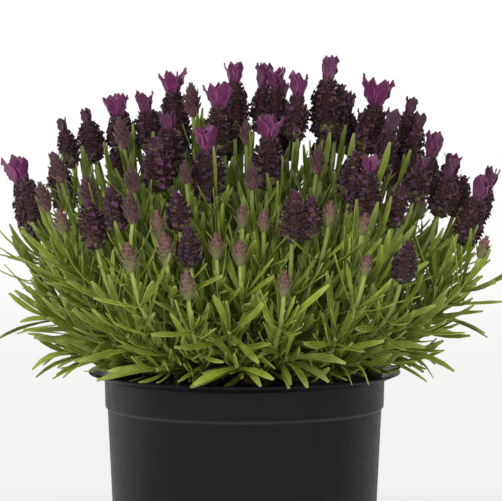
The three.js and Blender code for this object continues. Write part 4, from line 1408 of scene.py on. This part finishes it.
def pot(material):
    lip_under = LIP_TOP - LIP_THICKNESS
    band_under = BAND_TOP - LIP_THICKNESS
    obj = spun([
        (0, 0), (BASE_RADIUS - BASE_CHAMFER, 0), (BASE_RADIUS, BASE_CHAMFER),
        (WALL_RADIUS, STEP_HEIGHT), (BAND_RADIUS, STEP_HEIGHT + STEP_RISE),
        (BAND_RADIUS + BAND_FLARE, band_under), (BAND_RADIUS + LIP_ROOT, band_under + LIP_SAG),
        (LIP_RADIUS, lip_under), (LIP_RADIUS + LIP_BULGE, lip_under + LIP_THICKNESS / 2),
        (LIP_RADIUS - LIP_EDGE, LIP_TOP), (BAND_RADIUS + LIP_CREST, BAND_TOP + LIP_CREST_RISE),
        (BAND_RADIUS - LIP_MOUTH, BAND_TOP - LIP_MOUTH_DROP), (INNER_BAND, band_under - LIP_THICKNESS),
        (INNER_BAND, STEP_HEIGHT + STEP_INSIDE),
        (inner_wall(STEP_HEIGHT - STEP_INSIDE), STEP_HEIGHT - STEP_INSIDE),
        (inner_wall(FLOOR_THICKNESS), FLOOR_THICKNESS), (0, FLOOR_THICKNESS),
    ], POT_STEPS)
    turns = [2 * math.pi * i / DRAIN_COUNT for i in range(DRAIN_COUNT)]
    places = [(DRAIN_CIRCLE * math.cos(turn), DRAIN_CIRCLE * math.sin(turn)) for turn in turns]
    drill(obj, places, DRAIN_RADIUS, -1, FLOOR_THICKNESS + 1)
    apply_modifier(obj, "BEVEL", width=EDGE_WIDTH * MM, segments=2, limit_method="ANGLE",
                   angle_limit=math.radians(EDGE_ANGLE))
    bpy.ops.object.shade_smooth_by_angle(angle=math.radians(POT_SMOOTH))
    finish_piece(obj, "nursery_pot", "pot", [material])


def soil_block():
    """The soil's body, with lumps on its top."""
    floor = FLOOR_THICKNESS + CLEARANCE
    edge = INNER_BAND - SOIL_INSET
    top = [(mix(edge, 0, i / SOIL_RINGS), mix(SOIL_EDGE, SOIL_MIDDLE, i / SOIL_RINGS))
           for i in range(SOIL_RINGS + 1)]
    obj = spun([
        (0, floor), (inner_wall(floor) - SOIL_INSET, floor),
        (inner_wall(STEP_HEIGHT - STEP_INSIDE) - SOIL_INSET, STEP_HEIGHT - STEP_INSIDE),
        (edge, STEP_HEIGHT + STEP_INSIDE), *top], SOIL_STEPS)
    for vertex in obj.data.vertices:
        reach = math.hypot(vertex.co.x, vertex.co.y) / MM
        if vertex.co.z > LUMPS_FROM * MM and reach < LUMPS_WITHIN:
            lumps = [noise.noise(vertex.co * scale) * height for scale, height in SOIL_LUMPS]
            vertex.co.z += sum(lumps) * MM
    return obj


def soil_crumbs(crowns):
    """Crumbs strewn over the soil, clear of the woody bases."""
    growth = Growth()
    draw = seeded(FILL_SEED)
    points, faces, marks = PATTERNS["crumb"]
    while len(growth.points) < CRUMBS:
        reach = (INNER_BAND - CRUMB_INSET) * math.sqrt(draw())
        angle = 2 * math.pi * draw()
        x, y = reach * math.cos(angle), reach * math.sin(angle)
        size = np.array([pick(CRUMB_SIZE, draw) for _ in range(3)])
        if all(math.dist((x, y), place[:2]) > ROOT_RADIUS + CRUMB_ROOM for place in crowns):
            z = mix(SOIL_MIDDLE, SOIL_EDGE, reach / INNER_BAND) + CRUMB_RISE
            growth.add(points * size + (x, y, z), faces, marks, draw(), 0)
    return growth.build()


def soil(material, crowns):
    obj = soil_block()
    drill(obj, [place[:2] for place in crowns], ROOT_RADIUS + 2 * CLEARANCE,
          SOIL_MIDDLE - ROOT_DEPTH - CLEARANCE, SOIL_MIDDLE + HOLE_ROOM)
    select(obj, soil_crumbs(crowns))
    bpy.ops.object.join()
    finish_piece(obj, "potting_soil", "soil", [material])


# Materials
class Wiring:
    """The nodes and links of a material, a world or a node group."""

    def __init__(self, tree):
        self.nodes = tree.nodes
        self.links = tree.links

    def feed(self, socket, value):
        """Links another node's socket to this one, or sets this one to a value."""
        if isinstance(value, bpy.types.NodeSocket):
            self.links.new(value, socket)
        else:
            socket.default_value = value

    def node(self, kind, inputs=(), **settings):
        """The outputs of a new node with these inputs and settings."""
        node = self.nodes.new("ShaderNode" + kind)
        for key, value in settings.items():
            setattr(node, key, value)
        for key, value in dict(inputs).items():
            self.feed(node.inputs[key], value)
        return node.outputs

    def place(self):
        return self.node("TexCoord")["Object"]

    def mix(self, share, first, second):
        inputs = {MIX_SHARE: share, MIX_FIRST: first, MIX_SECOND: second}
        return self.node("Mix", inputs, data_type="RGBA")[MIX_RESULT]

    def ramp(self, value, low, high, start=0.0, end=1.0, how="SMOOTHSTEP"):
        """The value's place between low and high, from start to end."""
        inputs = {"Value": value, "From Min": low, "From Max": high, "To Min": start, "To Max": end}
        return self.node("MapRange", inputs, interpolation_type=how)["Result"]

    def toward(self, colour, other, value, low, high, start=0.0, end=1.0):
        """A colour that goes over to another one as the value goes from low to high."""
        return self.mix(self.ramp(value, low, high, start, end), colour, other)

    def math(self, how, first, second=0.0):
        return self.node("Math", {0: first, 1: second}, operation=how)[0]


class Finish(Wiring):
    """A material under the hand, with the sockets of its shader."""

    def __init__(self, name, **values):
        self.material = bpy.data.materials.new(name)
        self.material.use_nodes = True
        super().__init__(self.material.node_tree)
        self.shader = self.nodes["Principled BSDF"].inputs
        for key, value in values.items():
            self.shader[key.replace("_", " ")].default_value = value

    def mottle(self, light, dark, scale, sharpness=1.0):
        """The colour and the fine height of blotches in two colours."""
        group = self.nodes.new("ShaderNodeGroup")
        group.node_tree = MOTTLE
        for name, value in zip(MOTTLE_INPUTS, (light, dark, scale, sharpness)):
            group.inputs[name].default_value = value
        return group.outputs["Color"], group.outputs["Height"]

    def marks(self):
        """Across, along and tint, as the copies carry them."""
        marks = self.node("Attribute", attribute_name="growth")["Vector"]
        return self.node("SeparateXYZ", {0: marks})

    def height(self, low, high, start=0.0, end=1.0):
        """A ramp up the plant, from low to high in millimetres."""
        height = self.node("SeparateXYZ", {0: self.place()})["Z"]
        return self.ramp(height, low * MM, high * MM, start, end)

    def colour(self, socket):
        self.feed(self.shader["Base Color"], socket)

    def bump(self, height, strength, distance):
        inputs = {"Strength": strength, "Distance": distance * MM, "Height": height}
        self.feed(self.shader["Normal"], self.node("Bump", inputs)["Normal"])


def mottle_group():
    """Soft blotches of two colours, and a finer height for bumps."""
    group = bpy.data.node_groups.new("Mottle", "ShaderNodeTree")
    for name, kind in MOTTLE_INPUTS.items():
        group.interface.new_socket(name, in_out="INPUT", socket_type="NodeSocket" + kind)
    group.interface.new_socket("Color", in_out="OUTPUT", socket_type="NodeSocketColor")
    group.interface.new_socket("Height", in_out="OUTPUT", socket_type="NodeSocketFloat")
    wiring = Wiring(group)
    start = wiring.nodes.new("NodeGroupInput").outputs
    end = wiring.nodes.new("NodeGroupOutput").inputs
    place = wiring.place()
    finer = wiring.math("MULTIPLY", start["Scale"], GRAIN_FINENESS)
    blotches = wiring.node("TexNoise", {"Vector": place, "Scale": start["Scale"], "Detail": 3})
    grain = wiring.node("TexNoise", {"Vector": place, "Scale": finer, "Detail": 4})
    spread = wiring.math("DIVIDE", BLOTCH_SPREAD, start["Sharpness"])
    low = wiring.math("SUBTRACT", 0.5, spread)
    high = wiring.math("ADD", 0.5, spread)
    contrast = wiring.ramp(blotches["Fac"], low, high, how="LINEAR")
    wiring.feed(end["Color"], wiring.mix(contrast, start["Dark"], start["Light"]))
    wiring.feed(end["Height"], grain["Fac"])
    return group


def leaf_finish():
    finish = Finish("lavender leaf", Roughness=0.5, Specular_IOR_Level=0.25)
    across, along, tint = finish.marks()
    young, grain = finish.mottle(*YOUNG_LEAF)
    grown, _ = finish.mottle(*GROWN_LEAF)
    green = finish.toward(grown, young, tint, 0.1, 1)
    green = finish.toward(green, LEAF_BASE, along, 0, 0.45, 0.5, 0)
    middle = finish.math("ABSOLUTE", across)
    rib = finish.ramp(middle, 0.05, 0.2, 0.3, 0)
    edge = finish.ramp(middle, 0.75, 1, 0, 0.4)
    green = finish.mix(finish.math("ADD", rib, edge), green, LEAF_RIB)
    green = finish.toward(green, LEAF_END, along, 0.72, 1, 0, 0.4)
    # Painted shade: leaves are darkened towards the top of the bush, where the heads shade them
    finish.colour(finish.mix(finish.height(190, 250, 0, 0.45), green, PAINTED_SHADE_HIGH_LEAF))
    finish.bump(finish.math("ADD", grain, finish.ramp(middle, 0, 0.25, 0, 1.5)), 0.5, 0.3)
    return finish.material


def stem_finish():
    finish = Finish("lavender stem", Roughness=0.5, Specular_IOR_Level=0.35)
    across, along, tint = finish.marks()
    fresh, grain = finish.mottle(*FRESH_STEM)
    green = finish.toward(fresh, STEM_CORNER, across, 0.2, 1, 0, 0.45)
    green = finish.toward(green, STEM_WOOD, along, 0.05, 0.5, 0.75, 0)
    green = finish.toward(green, STEM_BROWN, tint, 0, 1, 0, 0.35)
    # Painted shade: stems are darkened towards the top of the bush, where the heads shade them
    finish.colour(finish.mix(finish.height(200, 255, 0, 0.4), green, PAINTED_SHADE_HIGH_STEM))
    finish.bump(grain, 0.4, 0.2)
    return finish.material


def bark_finish():
    finish = Finish("woody base", Roughness=0.85)
    bark, grain = finish.mottle(*BASE_BARK)
    finish.colour(bark)
    finish.bump(grain, 0.9, 0.8)
    return finish.material


def bud_finish():
    finish = Finish("flower bud", Roughness=0.6, Sheen_Weight=0.1)
    across, _, tint = finish.marks()
    green, grain = finish.mottle(*GREEN_BUD)
    pink, _ = finish.mottle(*PINK_BUD)
    colour = finish.toward(green, pink, tint, 0.15, 0.8)
    colour = finish.toward(colour, RIPE_BUD, tint, 0.99, 1.4, 0, 0.88)
    colour = finish.toward(colour, BUD_RIM, finish.math("ABSOLUTE", across), 0.5, 1, 0, 0.3)
    finish.colour(colour)
    finish.bump(grain, 0.5, 0.3)
    return finish.material


def calyx_finish():
    finish = Finish("furry calyx", Roughness=0.75, Specular_IOR_Level=0.3, Sheen_Weight=0.03)
    across, along, tint = finish.marks()
    purple, grain = finish.mottle(*PURPLE_CALYX)
    grey, _ = finish.mottle(*GREY_CALYX)
    colour = finish.toward(purple, grey, tint, 0.08, 0.5, 1, 0)
    colour = finish.toward(colour, CALYX_STRAW, tint, 0.12, 0.3, 0.75, 0)
    # Painted shade: the foot of each scale is darkened nearly to black, where the scales overlap
    colour = finish.toward(colour, PAINTED_SHADE_CALYX, along, 0.05, 0.7, 0.85, 0)
    colour = finish.mix(finish.height(200, 265, 0.3, 0), colour, LOW_CALYX)
    colour = finish.toward(colour, CALYX_RIM, finish.math("ABSOLUTE", across), 0.6, 1, 0, 0.2)
    finish.colour(colour)
    finish.bump(grain, 0.6, 0.3)
    return finish.material


def corolla_finish():
    finish = Finish("dark floret", Roughness=0.6, Specular_IOR_Level=0.3)
    reach, depth, tint = finish.marks()
    violet, grain = finish.mottle(*VIOLET_FLORET)
    wool, _ = finish.mottle(*FLORET_WOOL)
    colour = finish.toward(violet, SPENT_FLORET, tint, 0.8, 1)
    colour = finish.toward(colour, FRESH_FLORET, tint, 0, 0.2, 0.7, 0)
    colour = finish.toward(colour, LOBE_RIM, reach, 0.6, 1, 0, 0.25)
    finish.colour(finish.toward(colour, wool, depth, 0.2, 0.8))
    finish.bump(grain, 0.4, 0.2)
    return finish.material


def wool_finish():
    finish = Finish("pale hair", Roughness=0.8, Sheen_Weight=0.1)
    hair, _ = finish.mottle(*PALE_HAIR)
    finish.colour(hair)
    return finish.material


def bract_finish():
    finish = Finish("magenta bract", Roughness=0.5, Sheen_Weight=0.05)
    across, along, tint = finish.marks()
    bright, _ = finish.mottle(*BRIGHT_BRACT)
    deep, _ = finish.mottle(*DEEP_BRACT)
    colour = finish.mix(tint, deep, bright)
    veins = finish.math("SINE", finish.math("MULTIPLY", across, VEIN_PACE))
    colour = finish.toward(colour, BRACT_VEIN, veins, 0.35, 0.95, 0, 0.32)
    colour = finish.toward(colour, BRACT_BASE, along, 0, 0.3, 0.7, 0)
    # The rims are lightened, partly as paler edges and partly as a painted highlight, the more so on
    # open tufts
    rim_and_highlight = finish.ramp(finish.math("ABSOLUTE", across), 0.7, 1, 0, 0.5)
    rim_and_highlight = finish.math("MULTIPLY", rim_and_highlight, finish.ramp(tint, 0, 0.8, 0.15, 1))
    finish.colour(finish.mix(rim_and_highlight, colour, BRACT_RIM_AND_HIGHLIGHT))
    finish.bump(veins, 0.35, 0.25)
    return finish.material


def pot_finish():
    finish = Finish("black nursery plastic", Specular_IOR_Level=0.16)
    plastic, grain = finish.mottle(*BLACK_PLASTIC)
    _, dust = finish.mottle(*FINE_DUST)
    dusty = finish.toward(plastic, POT_DUST, dust, 0.62, 0.8, 0, 0.12)
    # Painted highlight: a thin lighter line on the step under the band, as if its bevel reflected the
    # bright floor
    above = finish.height(STEP_HEIGHT - 0.4, STEP_HEIGHT + 0.4)
    below = finish.height(STEP_HEIGHT + 1.1, STEP_HEIGHT + 1.9, 0.6, 0)
    finish.colour(finish.mix(finish.math("MULTIPLY", above, below), dusty, PAINTED_STEP_HIGHLIGHT))
    finish.feed(finish.shader["Roughness"], finish.ramp(grain, 0.3, 0.7, 0.37, 0.46))
    finish.bump(dust, 0.08, 0.04)
    return finish.material


def soil_finish():
    finish = Finish("potting soil", Roughness=0.95)
    earth, grain = finish.mottle(*DARK_EARTH)
    finish.colour(earth)
    finish.bump(grain, 1, 1.2)
    return finish.material


# The bush, piece by piece
def fill_shoots(crowns, first_number, rows):
    """Leafy shoots between the others, clear of the blooms."""
    shoots = []
    for row, tier in enumerate(FILL_TIERS):
        for i in range(tier[0]):
            shoot = leafy_shoot(tier, seeded(FILL_SEED + TIER_SEED_STEP * row + i), i)
            root_shoot(shoot, crowns, first_number + len(shoots))
            shoot.vigour = FILL_VIGOUR
            shoot.leaves = []
            if route_stem(shoot, rows):
                shoots.append(shoot)
    return shoots


def node_groups(blooms):
    """Each head with the one that leans on it, as the nodes have them."""
    groups = []
    for head in blooms:
        if not head.is_bud and head.leans:
            groups[-1].append(head)
        elif not head.is_bud:
            groups.append([head])
    return groups


def bush():
    crowns = crown_places()
    blooms, shoots, rows = grow_bush()
    shoots = shoots + fill_shoots(crowns, len(blooms) + len(shoots), rows)
    greens = [leaf_finish(), stem_finish(), bark_finish(), bud_finish()]
    purples = [calyx_finish(), corolla_finish(), bract_finish(), wool_finish()]
    for i, place in enumerate(crowns):
        growth = Growth()
        grow_base(growth, place, i)
        for shoot in shoots:
            if shoot.crown == i:
                grow_shoot(growth, shoot, rows)
        name = f"leafy_branch_{i + 1}"
        finish_piece(growth.build(), name.replace("leafy", "lavender"), name, greens)
    for i, group in enumerate(node_groups(blooms)):
        growth = Growth()
        for head in group:
            grow_head(growth, head)
        name = f"flower_head_{i + 1:02d}"
        finish_piece(growth.build(), name.replace("flower", "spike"), name, purples)
    pot(pot_finish())
    soil(soil_finish(), crowns)


# Floor, light and camera
def stage_floor():
    """A pale floor that fades into the white far away, for the camera alone."""
    bpy.ops.mesh.primitive_plane_add(size=FLOOR_SIZE)
    floor = bpy.context.object
    floor.name = "floor"
    finish = Finish("pale floor", Roughness=0.9, Specular_IOR_Level=0, Emission_Color=FLOOR_LIGHT)
    reach = finish.node("VectorMath", {0: finish.place()}, operation="LENGTH")["Value"]
    seen = finish.node("LightPath")["Is Camera Ray"]
    fade = finish.math("MULTIPLY", finish.ramp(reach, *FLOOR_FADE), seen)
    glow = finish.math("MULTIPLY", fade, finish.ramp(reach, *FLOOR_GLOW))
    finish.feed(finish.shader["Emission Strength"], glow)
    finish.colour(finish.mix(fade, FLOOR_COLOUR, BLACK))
    floor.data.materials.append(finish.material)


def aim(obj, place, target):
    obj.location = place
    obj.rotation_euler = (Vector(target) - Vector(place)).to_track_quat("-Z", "Y").to_euler()
    bpy.context.collection.objects.link(obj)


def lights():
    for name, place, size, power in LAMPS:
        lamp = bpy.data.lights.new(name, "AREA")
        lamp.size = size
        lamp.energy = power
        obj = bpy.data.objects.new(name, lamp)
        obj.visible_camera = False
        aim(obj, place, LAMP_AIM)


def world():
    """An even white world that the camera sees brighter than the plant does."""
    studio = bpy.data.worlds.new("studio")
    studio.use_nodes = True
    wiring = Wiring(studio.node_tree)
    background = wiring.nodes["Background"].inputs
    seen = wiring.node("LightPath")["Is Camera Ray"]
    wiring.feed(background["Color"], WHITE)
    wiring.feed(background["Strength"], wiring.ramp(seen, 0, 1, *WORLD_LIGHT, how="LINEAR"))
    bpy.context.scene.world = studio
    bpy.context.scene.view_settings.view_transform = "Standard"


def camera():
    data = bpy.data.cameras.new("camera")
    data.lens = CAMERA_LENS
    data.sensor_width = CAMERA_SENSOR
    data.clip_end = CAMERA_REACH
    obj = bpy.data.objects.new("camera", data)
    aim(obj, CAMERA_PLACE, CAMERA_AIM)
    bpy.context.scene.camera = obj


camera()
lights()
world()
stage_floor()
MOTTLE = mottle_group()
PATTERNS = {name: blade_pattern(*blade) for name, blade in BLADES.items()}
PATTERNS["floret"] = floret_pattern()
PATTERNS["crumb"] = crumb_pattern()
PATTERNS["stem"] = rod_pattern(STEM_RINGS)
PATTERNS["core"] = rod_pattern(CORE_RINGS)
PATTERNS["base"] = base_pattern()
PATTERNS["hair"] = hair_pattern()
bush()
